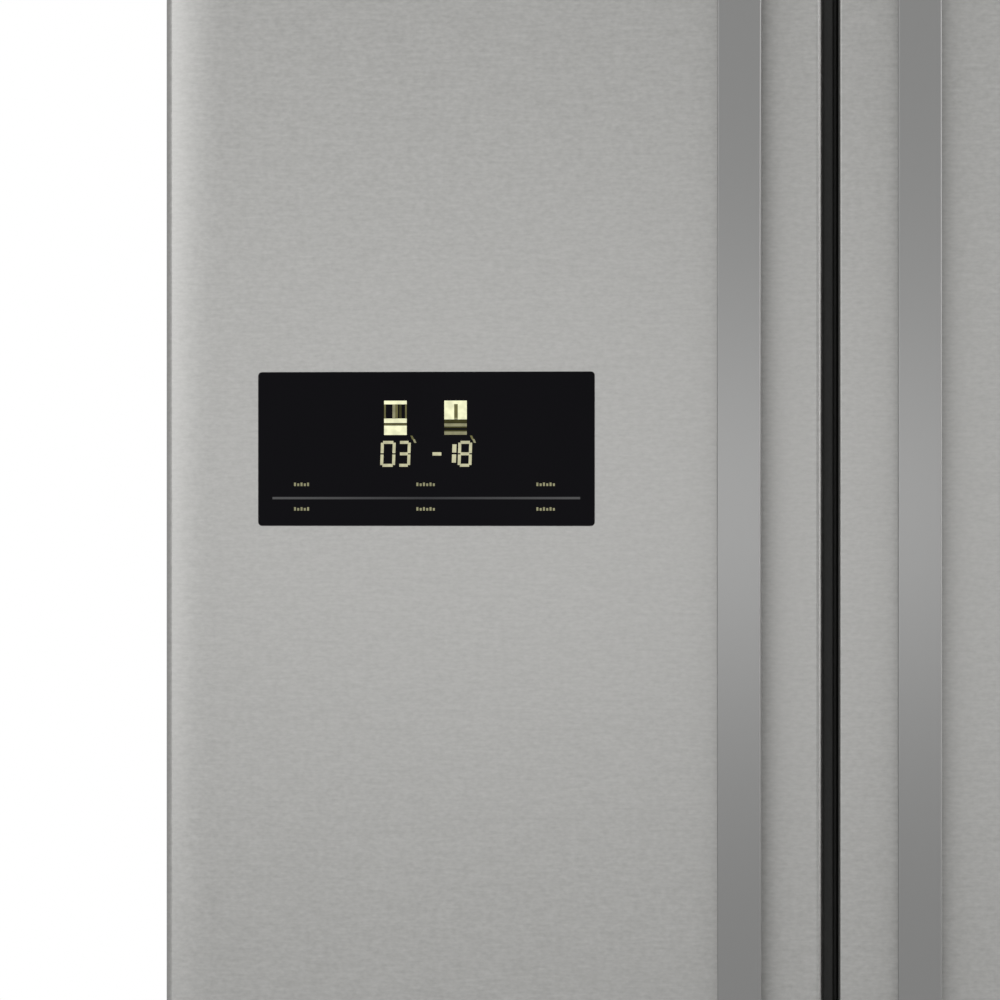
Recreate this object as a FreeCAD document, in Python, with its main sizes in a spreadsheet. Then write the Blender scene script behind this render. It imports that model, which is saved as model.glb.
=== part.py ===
import FreeCAD, Part

import Sketcher
import math
import os
import re

# Side by side refrigerator: a narrow freezer door on the left, a wide fridge
# door on the right, each with a bowed bar handle beside the middle gap, and a
# glass display let into the freezer door. Millimetres, +Z up, the front faces
# -Y. The origin is on the floor, in the middle of the whole outline.

DOC = FreeCAD.newDocument("SideBySide")
SHEET = DOC.addObject("Spreadsheet::Sheet", "Sizes")

# The driving dimensions. Each row is an alias, its value and what it measures.
SIZES = (
    ("width", 910, "overall width, side panel to side panel"),
    ("height", 1790, "overall height, floor to the hinge covers' top"),
    ("cabinet_depth", 610, "cabinet without its doors"),
    ("seal_gap", 10, "gap that the gasket fills behind a door"),
    ("door_thick", 68, "door, front face to back face"),
    ("handle_reach", 48, "front of a handle ahead of its door"),
    ("hinge_rise", 26, "height of the hinge covers above the cabinet"),
    ("door_drop", 5, "door top below the cabinet top"),
    ("door_bottom", 62, "height of the doors' lower edge"),
    ("freezer_door_width", 400, "width of the left door"),
    ("door_gap", 10.2, "gap between the two doors"),
    ("sheet_steel", 1.2, "painted or stainless sheet"),
    ("liner_wall", 2, "moulded plastic liner"),
    ("freezer_wall", 57, "insulated side wall of the freezer"),
    ("fridge_wall", 47, "insulated side wall of the fridge"),
    ("mullion", 70, "insulated wall between the compartments"),
    ("top_wall", 55, "insulated top"),
    ("back_wall", 60, "insulated back"),
    ("floor_wall", 50, "insulated floor above the base"),
    ("base_bottom", 34, "underside of the base frame"),
    ("base_top", 60, "top of the base frame"),
    ("rail", 30, "width of a base rail"),
    ("base_sheet", 2, "folded steel of the base"),
    ("machine_depth", 230, "depth of the machine compartment"),
    ("machine_top", 300, "height of the machine compartment's roof"),
    ("hump_wall", 45, "insulation around the machine compartment"),
    ("pin_inset", 18, "hinge pin in from the side of the door"),
    ("pin_setback", 30, "hinge pin behind the door's front"),
    ("pin_radius", 5, "hinge pin"),
    ("pin_reach", 14, "hinge pin inside the door cap"),
    ("running_fit", 0.1, "radial clearance of a turning pin"),
    ("snug", 0.3, "clearance around a piece that drops in"),
    ("slide_gap", 1, "clearance beside a sliding piece"),
    ("cap_height", 20, "plastic cap on a door's end"),
    ("corner_radius", 5, "outer vertical corner of a door"),
    ("latch_radius", 4, "vertical corner beside the middle gap"),
    ("crown_radius", 160, "soft roll towards the outer edge"),
    ("crown_angle", 11, "angle that the soft roll turns through"),
    ("gasket_width", 14, "gasket across its face"),
    ("gasket_hinge", 22, "gasket in from the hinge edge"),
    ("gasket_latch", 8, "gasket in from the latch edge"),
    ("dyke_clear", 16, "inner frame of a door away from the liner"),
    ("dyke_width", 22, "rail of that inner frame"),
    ("dyke_depth", 50, "depth of that inner frame"),
    ("bin_depth", 98, "door bin, front to back"),
    ("bin_height", 105, "door bin"),
    ("bin_wall", 3, "moulded wall of a bin"),
    ("bin_lift", 30, "lowest bin above the frame's lower rail"),
    ("bin_fields", 4, "equal fields that the bins are spread over"),
    ("dairy_height", 80, "covered bin at the top of the fridge door"),
    ("lid_barrel", 2.5, "round hinge edge of the lid"),
    ("lid_back", 6, "lid's hinge line ahead of the door's back"),
    ("gasket_lap", 26, "gasket beyond the compartment's floor and top"),
    ("liner_inset", 2, "door liner in from the door's edges"),
    ("display_left", 57.4, "display in from the freezer door's edge"),
    ("display_width", 205.2, "display glass"),
    ("display_height", 93.5, "display glass"),
    ("display_level", 1310, "middle of the display above the floor"),
    ("display_thick", 4, "display glass and its tray"),
    ("display_proud", 0.4, "glass ahead of the steel"),
    ("handle_offset", 53.6, "handle centre from the middle of the gap"),
    ("handle_width", 26, "face of a handle bar"),
    ("handle_thick", 12, "handle bar, front to back"),
    ("handle_length", 860, "handle bar, end to end"),
    ("handle_level", 1267, "middle of the handle above the floor"),
    ("handle_bow", 18, "bow of the handle between its ends"),
    ("handle_edge", 3, "rounded edges of the bar"),
    ("post_inset", 34, "handle post in from the bar's end"),
    ("post_radius", 9, "handle post"),
    ("loose_front", 122, "front of shelves and drawers behind the cabinet front"),
    ("shelf_thick", 5, "glass shelf"),
    ("shelf_trim", 14, "height of a shelf's front trim"),
    ("shelf_side", 2, "shelf in from the compartment's wall"),
    ("trim_deep", 12, "shelf's front trim, front to back"),
    ("trim_lap", 4, "glass inside a shelf's trim"),
    ("back_trim", 10, "shelf's back trim, front to back"),
    ("back_lip", 6, "back trim above the glass"),
    ("freezer_shelf_rise", 260, "lowest freezer shelf above the drawer frame"),
    ("freezer_shelf_step", 330, "one freezer shelf to the next"),
    ("fridge_shelf_rise", 250, "lowest fridge shelf above the drawer frame"),
    ("fridge_shelf_step", 270, "one fridge shelf to the next"),
    ("shelf_back_gap", 12, "shelf to the panel behind it"),
    ("drawer_hinge_gap", 75, "drawer side from the hinge pin"),
    ("drawer_side_gap", 12, "drawer to the middle wall"),
    ("drawer_wall", 3, "moulded wall of a drawer"),
    ("drawer_lower_height", 205, "lower drawer"),
    ("drawer_upper_height", 175, "upper drawer"),
    ("lip_in", 40, "finger lip in from the drawer's sides"),
    ("lip_drop", 24, "bottom of the finger lip below the drawer's rim"),
    ("lip_tall", 12, "finger lip"),
    ("lip_deep", 2.5, "finger lip into the drawer's front"),
    ("frame_inset", 6, "drawer frame's cheeks behind its front"),
    ("runner_wide", 12, "ledge that a drawer slides on"),
    ("runner_thick", 4, "ledge that a drawer slides on"),
    ("cheek", 4, "side plate of the drawer frame"),
    ("duct_thick", 4, "freezer duct panel"),
    ("duct_space", 68, "space behind the freezer duct panel"),
    ("duct_fan_rise", 420, "freezer fan above the step"),
    ("duct_margin", 50, "vents in from the duct's edges"),
    ("duct_vent_wide", 36, "vent of the freezer duct"),
    ("duct_vent_tall", 10, "vent of the freezer duct"),
    ("duct_vent_rise", 600, "lowest freezer vent above the step"),
    ("duct_vent_drop", 274, "highest freezer vent below the top"),
    ("guard_bar", 6, "bar of the fan's guard"),
    ("coil_tube", 4, "radius of a coil's tube"),
    ("coil_pitch", 40, "one tube of a coil to the next"),
    ("cold_fin", 1.5, "fin of the evaporator"),
    ("cold_rise", 60, "evaporator above the step"),
    ("cold_tall", 240, "evaporator"),
    ("column_deep", 26, "air column of the fridge, front to back"),
    ("column_wide", 180, "air column of the fridge"),
    ("column_rise", 30, "air column above the drawer frame"),
    ("column_drop", 60, "air column below the top"),
    ("column_vent_wide", 120, "vent of the air column"),
    ("column_vent_tall", 12, "vent of the air column"),
    ("column_vent_deep", 6, "vent into the air column"),
    ("column_vent_rise", 120, "lowest vent above the drawer frame"),
    ("column_vent_drop", 251, "highest vent below the top"),
    ("nut_half", 16, "half of a levelling foot's square nut"),
    ("foot_radius", 22, "levelling foot"),
    ("foot_thick", 9, "levelling foot's pad"),
    ("stem_radius", 5, "levelling foot's stem"),
    ("foot_in", 58, "foot in from the side"),
    ("foot_back", 36, "foot behind the cabinet front"),
    ("roller_radius", 24, "rear roller"),
    ("roller_wide", 18, "rear roller"),
    ("roller_in", 58, "roller in from the side"),
    ("roller_front", 62, "roller ahead of the back"),
    ("axle_radius", 4, "roller axle"),
    ("fork", 4, "plate of a roller's fork"),
    ("fork_half", 14, "half of a fork plate, front to back"),
    ("roller_room", 3, "room around a roller"),
    ("fan_radius", 58, "fan blades"),
    ("fan_hub", 18, "fan hub"),
    ("fan_thick", 20, "fan, along its axis"),
    ("fan_frame", 14, "fan ring around the blades"),
    ("blade_wide", 30, "fan blade along its rim"),
    ("blade_thick", 2, "fan blade"),
    ("blade_pitch", 22, "turn of a fan blade out of its plane"),
    ("mount_tall", 12, "rubber foot of the compressor"),
    ("mount_radius", 9, "rubber foot of the compressor"),
    ("compressor_dome", 30, "rounding of the compressor's domes"),
    ("terminal_deep", 14, "terminal box beside the compressor"),
    ("terminal_rise", 60, "terminal box above the compressor's foot"),
    ("terminal_wide", 60, "terminal box"),
    ("terminal_tall", 50, "terminal box"),
    ("compressor_radius", 72, "compressor shell"),
    ("compressor_tall", 160, "compressor shell with its domes"),
    ("compressor_x", 270, "compressor centre from the middle"),
    ("condenser_wide", 170, "condenser fins along the cabinet"),
    ("condenser_rise", 10, "condenser above the base plate"),
    ("condenser_tall", 160, "condenser fins"),
    ("condenser_front", 40, "condenser behind the room's front"),
    ("condenser_back", 50, "condenser ahead of the room's back"),
    ("condenser_row", 45, "one row of the condenser's tubes to the next"),
    ("warm_fin", 2, "fin of the condenser"),
    ("coil_bend", 8, "coil's tubes beyond its fins"),
    ("leg_wide", 8, "leg of the condenser"),
    ("fan_rise", 90, "condenser fan's centre above the base plate"),
    ("condenser_x", -300, "condenser centre from the middle"),
    ("fan_x", -130, "condenser fan from the middle"),
    ("pan_wide", 220, "drain pan"),
    ("pan_drop", 70, "drain pan below the room's roof"),
    ("pan_shift", 10, "drain pan beyond the compressor's centre"),
    ("pan_front", 20, "drain pan behind the room's front"),
    ("pan_back", 40, "drain pan ahead of the room's back"),
    ("pan_wall", 2, "drain pan"),
    ("louvre_wide", 40, "louvre of the rear cover"),
    ("louvre_tall", 6, "louvre of the rear cover"),
    ("louvre_pitch", 22, "one row of louvres to the next"),
    ("louvre_rise", 60, "lowest louvres above the base"),
    ("louvre_margin", 60, "louvres in from the sides"),
    ("gland_in", 90, "cord gland in from the side"),
    ("gland_rise", 36, "cord gland above the base"),
    ("gland_radius", 9, "hole for the cord gland"),
    ("gland_collar", 12, "collar of the cord gland"),
    ("gland_bore", 4, "bore of the cord gland"),
    ("gland_inside", 8, "cord gland inside the rear cover"),
    ("pan_deep", 28, "drain pan"),
    ("grille_bottom", 12, "kick grille above the floor"),
    ("grille_tab", 12, "half of a tab behind the kick grille"),
    ("grille_slot_wide", 52, "slot of the kick grille"),
    ("grille_slot_tall", 4, "slot of the kick grille"),
    ("grille_slot_pitch", 8, "one row of slots to the next"),
    ("grille_slot_rise", 9, "lowest slots above the grille's edge"),
    ("grille_margin", 40, "slots in from the sides"),
    ("hinge_lead", 14, "hinge plate outward of its pin"),
    ("hinge_run", 40, "hinge plate inward of its pin"),
    ("hinge_half", 13, "hinge plate ahead of its pin"),
    ("hinge_anchor", 70, "hinge plate over the cabinet"),
    ("hinge_plate", 4, "top hinge plate"),
    ("cover_margin", 5, "hinge cover beyond its plate"),
    ("cover_wall", 3, "hinge cover"),
    ("cover_round", 4, "rounded edges of a hinge cover"),
    ("arm_thick", 5, "bottom hinge arm"),
    ("arm_gap", 3, "bottom hinge arm below the door"),
    ("leg_rise", 8, "bottom hinge leg above the base's underside"),
    ("grille_height", 38, "kick grille"),
    ("grille_setback", 30, "kick grille ahead of the cabinet front"),
    ("grille_thick", 3, "kick grille"),
)

# Places that follow from the driving dimensions, as formulas on them.
PLACES = {
    "back": "(cabinet_depth + seal_gap + door_thick + handle_reach) / 2",
    "case_front": "back - cabinet_depth",
    "door_back": "case_front - seal_gap",
    "door_front": "door_back - door_thick",
    "pin_y": "door_front + pin_setback",
    "side": "width / 2",
    "inside": "side - sheet_steel",
    "case_top": "height - hinge_rise",
    "door_top": "case_top - door_drop",
    "freezer_free": "freezer_door_width - side",
    "fridge_free": "freezer_free + door_gap",
    "fridge_door_width": "width - freezer_door_width - door_gap",
    "middle": "freezer_free + door_gap / 2",
    "freezer_x0": "freezer_wall - side",
    "freezer_x1": "middle - mullion / 2",
    "fridge_x0": "middle + mullion / 2",
    "fridge_x1": "side - fridge_wall",
    "cave_back": "back - back_wall",
    "cave_floor": "base_top + floor_wall",
    "cave_top": "case_top - top_wall",
    "floor_plate": "base_bottom + base_sheet",
    "room_middle": "machine_front + machine_depth / 2",
    "fan_level": "floor_plate + fan_rise",
    "frame_low": "cave_floor + dyke_clear + dyke_width",
    "bin_field": "(cave_top - dyke_clear - dyke_width - frame_low) / bin_fields",
    "hump_front": "back - machine_depth - hump_wall",
    "hump_top": "machine_top + hump_wall",
    "machine_front": "back - machine_depth",
    "loose_y": "case_front + loose_front",
    "duct_y": "cave_back - duct_space",
    "lower_z": "cave_floor + runner_thick + 4 * snug",
    "upper_z": "hump_top + runner_thick + 4 * snug",
    "frame_top": "upper_z + drawer_upper_height + slide_gap + runner_thick",
}

NODES = []


def fill_sheet():
    """Writes the driving dimensions, one row each."""
    for row, (alias, value, note) in enumerate(SIZES, start=1):
        SHEET.set("A%d" % row, note)
        SHEET.set("B%d" % row, str(value))
        SHEET.setAlias("B%d" % row, alias)
    DOC.recompute()


def link(formula):
    """Turns a formula on plain names into one on the sheet's cells."""
    aliases = [row[0] for row in SIZES]

    def swap(match):
        word = match.group(0)
        if word in PLACES:
            return "(" + link(PLACES[word]) + ")"
        if word in aliases:
            return "Sizes." + word
        return word

    return re.sub(r"[a-z_][a-z_0-9]*", swap, formula)


def size(formula):
    """The number that a formula comes to."""
    value = SHEET.evalExpression(link(formula))
    return float(getattr(value, "Value", value))


def bind(thing, prop, formula):
    thing.setExpression(prop, link(formula))


def block(xs, ys, zs, name="Block"):
    """A box between two formulas along each axis."""
    box = DOC.addObject("Part::Box", name)
    for prop, letter, (low, high) in zip(("Length", "Width", "Height"), "xyz", (xs, ys, zs)):
        bind(box, prop, "(%s) - (%s)" % (high, low))
        bind(box, "Placement.Base." + letter, low)
    return box


def rod(radius, length, base, turn=None, name="Rod"):
    """A cylinder from base, along +Z or along the axis that turn gives."""
    cylinder = DOC.addObject("Part::Cylinder", name)
    bind(cylinder, "Radius", radius)
    bind(cylinder, "Height", length)
    if turn:
        cylinder.Placement = FreeCAD.Placement(FreeCAD.Vector(), turn)
    for letter, formula in zip("xyz", base):
        bind(cylinder, "Placement.Base." + letter, formula)
    return cylinder


ALONG_X = FreeCAD.Rotation(FreeCAD.Vector(0, 1, 0), 90)
ALONG_Y = FreeCAD.Rotation(FreeCAD.Vector(1, 0, 0), -90)


def together(kind, pieces, name):
    group = DOC.addObject(kind, name)
    group.Shapes = pieces
    return group


def fuse(pieces, name="Fuse"):
    if len(pieces) == 1:
        return pieces[0]
    return together("Part::MultiFuse", pieces, name)


def bunch(pieces, name="Bunch"):
    """Separate solids kept side by side."""
    group = DOC.addObject("Part::Compound", name)
    group.Links = pieces
    return group


def cut(base, tools, name="Cut"):
    result = DOC.addObject("Part::Cut", name)
    result.Base = base
    result.Tool = tools[0] if len(tools) == 1 else fuse(tools, name + "Tools")
    return result


def round_edges(base, radius, chosen, name="Round"):
    """Fillets the edges that chosen(edge) picks, by the size of that formula."""
    DOC.recompute()
    reach = size(radius)
    picked = [i for i, edge in enumerate(base.Shape.Edges, start=1) if chosen(edge)]
    result = DOC.addObject("Part::Fillet", name)
    result.Base = base
    result.Edges = [(i, reach, reach) for i in picked]
    return result


def upright(edge):
    ends = [vertex.Point for vertex in edge.Vertexes]
    return len(ends) == 2 and abs(ends[0].x - ends[1].x) < 1e-6 and abs(ends[0].y - ends[1].y) < 1e-6


def node(label, piece):
    """Names a finished sub-part and keeps it for export."""
    piece.Label = label
    NODES.append(piece)
    return piece


def shaped(label, shape, place=("0", "0", "0"), turn=None):
    """A finished sub-part whose shape the code works out, set down at a place."""
    piece = DOC.addObject("Part::Feature", label)
    piece.Shape = shape
    base = FreeCAD.Vector(*[size(formula) for formula in place])
    piece.Placement = FreeCAD.Placement(base, turn or FreeCAD.Rotation())
    return node(label, piece)


def turned(name, outline, place, turn=None):
    """A PartDesign body turned about its own Z axis from an outline of (radius, height)."""
    body = DOC.addObject("PartDesign::Body", name)
    sketch = body.newObject("Sketcher::SketchObject", name + "Sketch")
    plane = [item for item in body.Origin.OriginFeatures if item.Role == "XZ_Plane"][0]
    sketch.AttachmentSupport = [(plane, "")]
    sketch.MapMode = "FlatFace"
    corners = [FreeCAD.Vector(size(radius), size(rise), 0) for radius, rise in outline]
    count = len(corners)
    for index, corner in enumerate(corners):
        sketch.addGeometry(Part.LineSegment(corner, corners[(index + 1) % count]), False)
    for index in range(count):
        sketch.addConstraint(Sketcher.Constraint("Coincident", index, 2, (index + 1) % count, 1))
    for index, formulas in enumerate(outline):
        for kind, axis, formula in zip(("DistanceX", "DistanceY"), (-2, -1), formulas):
            if formula == "0":
                sketch.addConstraint(Sketcher.Constraint("PointOnObject", index, 1, axis))
            else:
                row = sketch.addConstraint(Sketcher.Constraint(kind, -1, 1, index, 1, size(formula)))
                sketch.setExpression("Constraints[%d]" % row, link(formula))
    spin = body.newObject("PartDesign::Revolution", name + "Spin")
    spin.Profile = sketch
    spin.ReferenceAxis = (sketch, ["V_Axis"])
    spin.Angle = 360
    if turn:
        body.Placement = FreeCAD.Placement(FreeCAD.Vector(), turn)
    for letter, formula in zip("xyz", place):
        bind(body, "Placement.Base." + letter, formula)
    DOC.recompute()
    return body


def soften(body, radius, chosen):
    """A PartDesign fillet on the edges of a body that chosen(edge) picks."""
    base = body.Tip
    fillet = body.newObject("PartDesign::Fillet", body.Name + "Soft")
    names = ["Edge%d" % i for i, edge in enumerate(base.Shape.Edges, start=1) if chosen(edge)]
    fillet.Base = (base, names)
    bind(fillet, "Radius", radius)
    DOC.recompute()
    return body


def spread(low, high, count, index, wide):
    """The low and high of item number index of count, evenly spread."""
    start = "(%s) + ((%s) - (%s) - %s) * %d / %d" % (low, high, low, wide, index, count - 1)
    return start, "%s + %s" % (start, wide)


# --- Cabinet ---------------------------------------------------------------

def side_panels():
    for name, low, high in (("left", "-side", "-inside"), ("right", "inside", "side")):
        panel = block((low, high), ("case_front", "back"), ("base_bottom", "case_top"))
        node("side_panel_" + name, panel)


def top_and_back():
    node("top_panel", block(("-inside", "inside"), ("case_front", "back"),
                            ("case_top - sheet_steel", "case_top")))
    node("back_panel", block(("-inside", "inside"), ("back - sheet_steel", "back"),
                             ("machine_top + sheet_steel", "case_top - sheet_steel")))


def compartment(low, high, grow):
    """The stepped hollow of one compartment, grown by a wall on every side but the front."""
    hollow = block((low + " - " + grow, high + " + " + grow),
                   ("case_front - 1", "cave_back + " + grow),
                   ("cave_floor - " + grow, "cave_top + " + grow))
    hump = block((low + " - 1 - " + grow, high + " + 1 + " + grow),
                 ("hump_front + " + grow, "back"),
                 ("cave_floor - 1 - " + grow, "hump_top - " + grow))
    return cut(hollow, [hump], "Compartment")


def liner(label, low, high, flange, rim):
    """Flat panels welded into a stepped tub, with flange strips around its mouth."""
    outer = (low + " - liner_wall", high + " + liner_wall")
    mouth = "case_front"
    lip = (mouth, mouth + " + liner_wall")
    floor = "cave_floor - liner_wall"
    roof = "cave_top + liner_wall"
    panels = [
        block(outer, (mouth, "hump_front + liner_wall"), (floor, "cave_floor"), "Floor"),
        block(outer, ("hump_front", "hump_front + liner_wall"), ("cave_floor", "hump_top"), "StepFront"),
        block(outer, ("hump_front + liner_wall", "cave_back + liner_wall"),
              ("hump_top - liner_wall", "hump_top"), "StepTop"),
        block(outer, ("cave_back", "cave_back + liner_wall"), ("hump_top", "cave_top"), "Rear"),
        block(outer, (mouth, "cave_back + liner_wall"), ("cave_top", roof), "Roof"),
        block(flange, lip, ("base_top", floor), "LowerFlange"),
        block(flange, lip, (roof, "case_top - sheet_steel"), "UpperFlange"),
        block(rim, lip, (floor, roof), "SideFlange"),
    ]
    for wall in ((outer[0], low), (high, outer[1])):
        panels.append(block(wall, (mouth, "cave_back"), ("hump_top", "cave_top"), "UpperWall"))
        panels.append(block(wall, (mouth, "hump_front"), ("cave_floor", "hump_top"), "LowerWall"))
    node(label, bunch(panels, "Liner"))


def liners():
    liner("freezer_liner", "freezer_x0", "freezer_x1", ("-inside", "middle"),
          ("-inside", "freezer_x0 - liner_wall"))
    liner("fridge_liner", "fridge_x0", "fridge_x1", ("middle", "inside"),
          ("fridge_x1 + liner_wall", "inside"))
    node("mullion_plate", block(("freezer_x1 + liner_wall + snug", "fridge_x0 - liner_wall - snug"),
                                ("case_front", "case_front + sheet_steel"),
                                ("cave_floor - liner_wall + snug", "cave_top + liner_wall - snug")))


def foam():
    """Insulation between the outer sheets and the two liners."""
    solid = block(("-inside", "inside"), ("case_front + liner_wall", "back - sheet_steel"),
                  ("base_top", "case_top - sheet_steel"))
    machine = block(("-width", "width"), ("machine_front - sheet_steel", "back"),
                    ("0", "machine_top + sheet_steel"))
    hollows = [compartment("freezer_x0", "freezer_x1", "liner_wall"),
               compartment("fridge_x0", "fridge_x1", "liner_wall")]
    node("cabinet_foam", cut(solid, hollows + [machine], "Foam"))


def base_frame():
    """Folded steel base with the feet's nuts, the rollers' forks and the machine room."""
    pieces = []
    for low, high in (("-inside", "rail - inside"), ("inside - rail", "inside")):
        outer = block((low, high), ("case_front", "back"), ("base_bottom", "base_top"))
        hollow = block((low + " + base_sheet", high + " - base_sheet"),
                       ("case_front + base_sheet", "back - base_sheet"),
                       ("base_bottom - 1", "base_top - base_sheet"))
        pieces.append(cut(outer, [hollow]))
    for low, high in (("case_front", "case_front + rail"), ("back - rail", "back")):
        outer = block(("-inside", "inside"), (low, high), ("base_bottom", "base_top"))
        hollow = block(("base_sheet - inside", "inside - base_sheet"),
                       (low + " + base_sheet", high + " - base_sheet"),
                       ("base_bottom - 1", "base_top - base_sheet"))
        pieces.append(cut(outer, [hollow]))
    pieces.append(block(("-inside", "inside"), ("case_front", "machine_front"),
                        ("base_top - base_sheet", "base_top")))
    pieces.append(block(("-inside", "inside"), ("machine_front - sheet_steel", "back"),
                        ("base_bottom", "base_bottom + base_sheet")))
    pieces.append(block(("-inside", "inside"), ("machine_front - sheet_steel", "machine_front"),
                        ("base_bottom", "machine_top + sheet_steel")))
    pieces.append(block(("-inside", "inside"), ("machine_front - sheet_steel", "back"),
                        ("machine_top", "machine_top + sheet_steel")))
    rooms = []
    for sign in ("-1", "1"):
        foot_x = "%s * (side - foot_in)" % sign
        foot_y = "case_front + foot_back"
        pieces.append(block((foot_x + " - nut_half", foot_x + " + nut_half"),
                            (foot_y + " - nut_half", foot_y + " + nut_half"),
                            ("base_bottom", "base_top - base_sheet")))
        rooms.append(rod("stem_radius + running_fit", "base_top", (foot_x, foot_y, "base_bottom - 10")))
        roller_x = "%s * (side - roller_in)" % sign
        roller_y = "back - roller_front"
        half = "(roller_wide / 2 + slide_gap)"
        rooms.append(block((roller_x + " - " + half, roller_x + " + " + half),
                           (roller_y + " - roller_radius - roller_room",
                            roller_y + " + roller_radius + roller_room"),
                           ("base_bottom - base_sheet", "2 * roller_radius + fork")))
    forks = []
    for sign in ("-1", "1"):
        roller_x = "%s * (side - roller_in)" % sign
        roller_y = "back - roller_front"
        half = "(roller_wide / 2 + slide_gap)"
        for low, high in ((half + " * -1 - fork", half + " * -1"), (half, half + " + fork")):
            forks.append(block((roller_x + " + " + low, roller_x + " + " + high),
                               (roller_y + " - fork_half", roller_y + " + fork_half"),
                               ("roller_radius - 10", "base_bottom + base_sheet")))
        forks.append(rod("axle_radius", "roller_wide + 2 * slide_gap + 2 * fork",
                         (roller_x + " - " + half + " - fork", roller_y, "roller_radius"), ALONG_X))
    node("base_frame", fuse([cut(fuse(pieces), rooms), *forks], "BaseFrame"))


def feet_and_rollers():
    for name, sign in (("left", "-1"), ("right", "1")):
        foot_x = "%s * (side - foot_in)" % sign
        foot_y = "case_front + foot_back"
        foot = turned("Foot", (("0", "0"), ("foot_radius", "0"), ("foot_radius", "foot_thick / 2"),
                               ("foot_radius - 4", "foot_thick"), ("stem_radius + 6", "foot_thick"),
                               ("stem_radius + 6", "foot_thick + 8"), ("stem_radius", "foot_thick + 8"),
                               ("stem_radius", "base_top - 4"), ("0", "base_top - 4")),
                      (foot_x, foot_y, "0"))
        node("levelling_foot_" + name, foot)
        roller_x = "%s * (side - roller_in)" % sign
        bore = "axle_radius + running_fit"
        roller = turned("Roller", ((bore, "0"), ("roller_radius - 3", "0"), ("roller_radius", "3"),
                                   ("roller_radius", "roller_wide - 3"),
                                   ("roller_radius - 3", "roller_wide"),
                                   (bore, "roller_wide")),
                        (roller_x + " - roller_wide / 2", "back - roller_front", "roller_radius"), ALONG_X)
        node("roller_" + name, roller)


def kick_grille():
    """Vent under the doors: a slotted plate on two tabs."""
    front = "case_front - grille_setback"
    plate = block(("4 - side", "side - 4"), (front + " - grille_thick", front),
                  ("grille_bottom", "grille_bottom + grille_height"))
    tabs = [block((x + " - grille_tab", x + " + grille_tab"), (front, "case_front"),
                  ("floor_plate", "floor_plate + fork"))
            for x in ("-side / 2", "side / 2")]
    slots = []
    columns = 12
    for column in range(columns):
        low, high = spread("grille_margin - side", "side - grille_margin", columns, column,
                           "grille_slot_wide")
        for row in range(3):
            floor = "grille_bottom + grille_slot_rise + %d * grille_slot_pitch" % row
            slots.append(block((low, high), (front + " - grille_thick - 1", front + " + 1"),
                               (floor, floor + " + grille_slot_tall")))
    node("kick_grille", cut(fuse([plate, *tabs]), slots, "KickGrille"))


# --- Machine compartment ---------------------------------------------------

def compressor():
    """A domed pot on a foot plate with its terminal box and rubber feet."""
    middle_y = "room_middle"
    floor = "floor_plate + mount_tall"
    pot = turned("Pot", (("0", "0"), ("compressor_radius", "0"), ("compressor_radius", "compressor_tall"),
                         ("0", "compressor_tall")), ("compressor_x", middle_y, floor))
    soften(pot, "compressor_dome", lambda edge: edge.Curve.TypeId == "Part::GeomCircle")
    half = "compressor_radius + 10"
    plate = block(("compressor_x - (%s)" % half, "compressor_x + %s" % half),
                  (middle_y + " - compressor_radius * 0.9", middle_y + " + compressor_radius * 0.9"),
                  (floor, floor + " + cover_wall"))
    box = block(("compressor_x + compressor_radius - 8",
                 "compressor_x + compressor_radius + terminal_deep"),
                (middle_y + " - terminal_wide / 2", middle_y + " + terminal_wide / 2"),
                (floor + " + terminal_rise", floor + " + terminal_rise + terminal_tall"))
    feet = [rod("mount_radius", "mount_tall + slide_gap", ("compressor_x + %d * compressor_radius" % sx,
                            "%s + %d * compressor_radius * 0.75" % (middle_y, sy), "floor_plate"))
            for sx in (-1, 1) for sy in (-1, 1)]
    node("compressor", fuse([pot, plate, box, *feet], "Compressor"))


def condenser():
    """Finned coil with the ring that the fan turns in."""
    fins = 14
    pieces = []
    low_x = "condenser_x - condenser_wide / 2"
    high_x = "condenser_x + condenser_wide / 2"
    low_y = "machine_front + condenser_front"
    high_y = "back - condenser_back"
    for index in range(fins):
        low, high = spread(low_x, high_x, fins, index, "warm_fin")
        pieces.append(block((low, high), (low_y, high_y),
                            ("floor_plate + condenser_rise",
                             "floor_plate + condenser_rise + condenser_tall")))
    for row in range(4):
        for column in range(3):
            pieces.append(rod("coil_tube", "condenser_wide + 2 * coil_bend",
                              (low_x + " - coil_bend", "%s + (%d + 0.5) * condenser_row" % (low_y, column),
                               "floor_plate + condenser_rise + (%d + 0.5) * coil_pitch" % row), ALONG_X))
    legs = [block((x, x + " + leg_wide"), (low_y, high_y),
                  ("floor_plate", "floor_plate + condenser_rise + warm_fin"))
            for x in (low_x, high_x + " - leg_wide")]
    middle_y = "room_middle"
    middle_z = "fan_level"
    frame = block(("fan_x - fan_thick / 2 - fork", "fan_x + fan_thick / 2 + fork"),
                  (middle_y + " - fan_radius - fan_frame", middle_y + " + fan_radius + fan_frame"),
                  ("floor_plate", middle_z + " + fan_radius + fan_frame"))
    throat = rod("fan_radius + 5", "fan_thick + 20",
                 ("fan_x - fan_thick / 2 - 10", middle_y, middle_z), ALONG_X)
    ring = cut(frame, [throat])
    strut = block(("fan_x + fan_thick / 2 + slide_gap", "fan_x + fan_thick / 2 + fork"),
                  (middle_y + " - coil_tube", middle_y + " + coil_tube"),
                  (middle_z + " - fan_radius - 8", middle_z + " + fan_radius + 8"))
    pin = rod("axle_radius - 1", "fan_thick + 2", ("fan_x - fan_thick / 2 + 1", middle_y, middle_z),
              ALONG_X)
    node("condenser", bunch([fuse([*pieces, *legs], "Coil"), fuse([ring, strut, pin], "FanRing")]))


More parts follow.
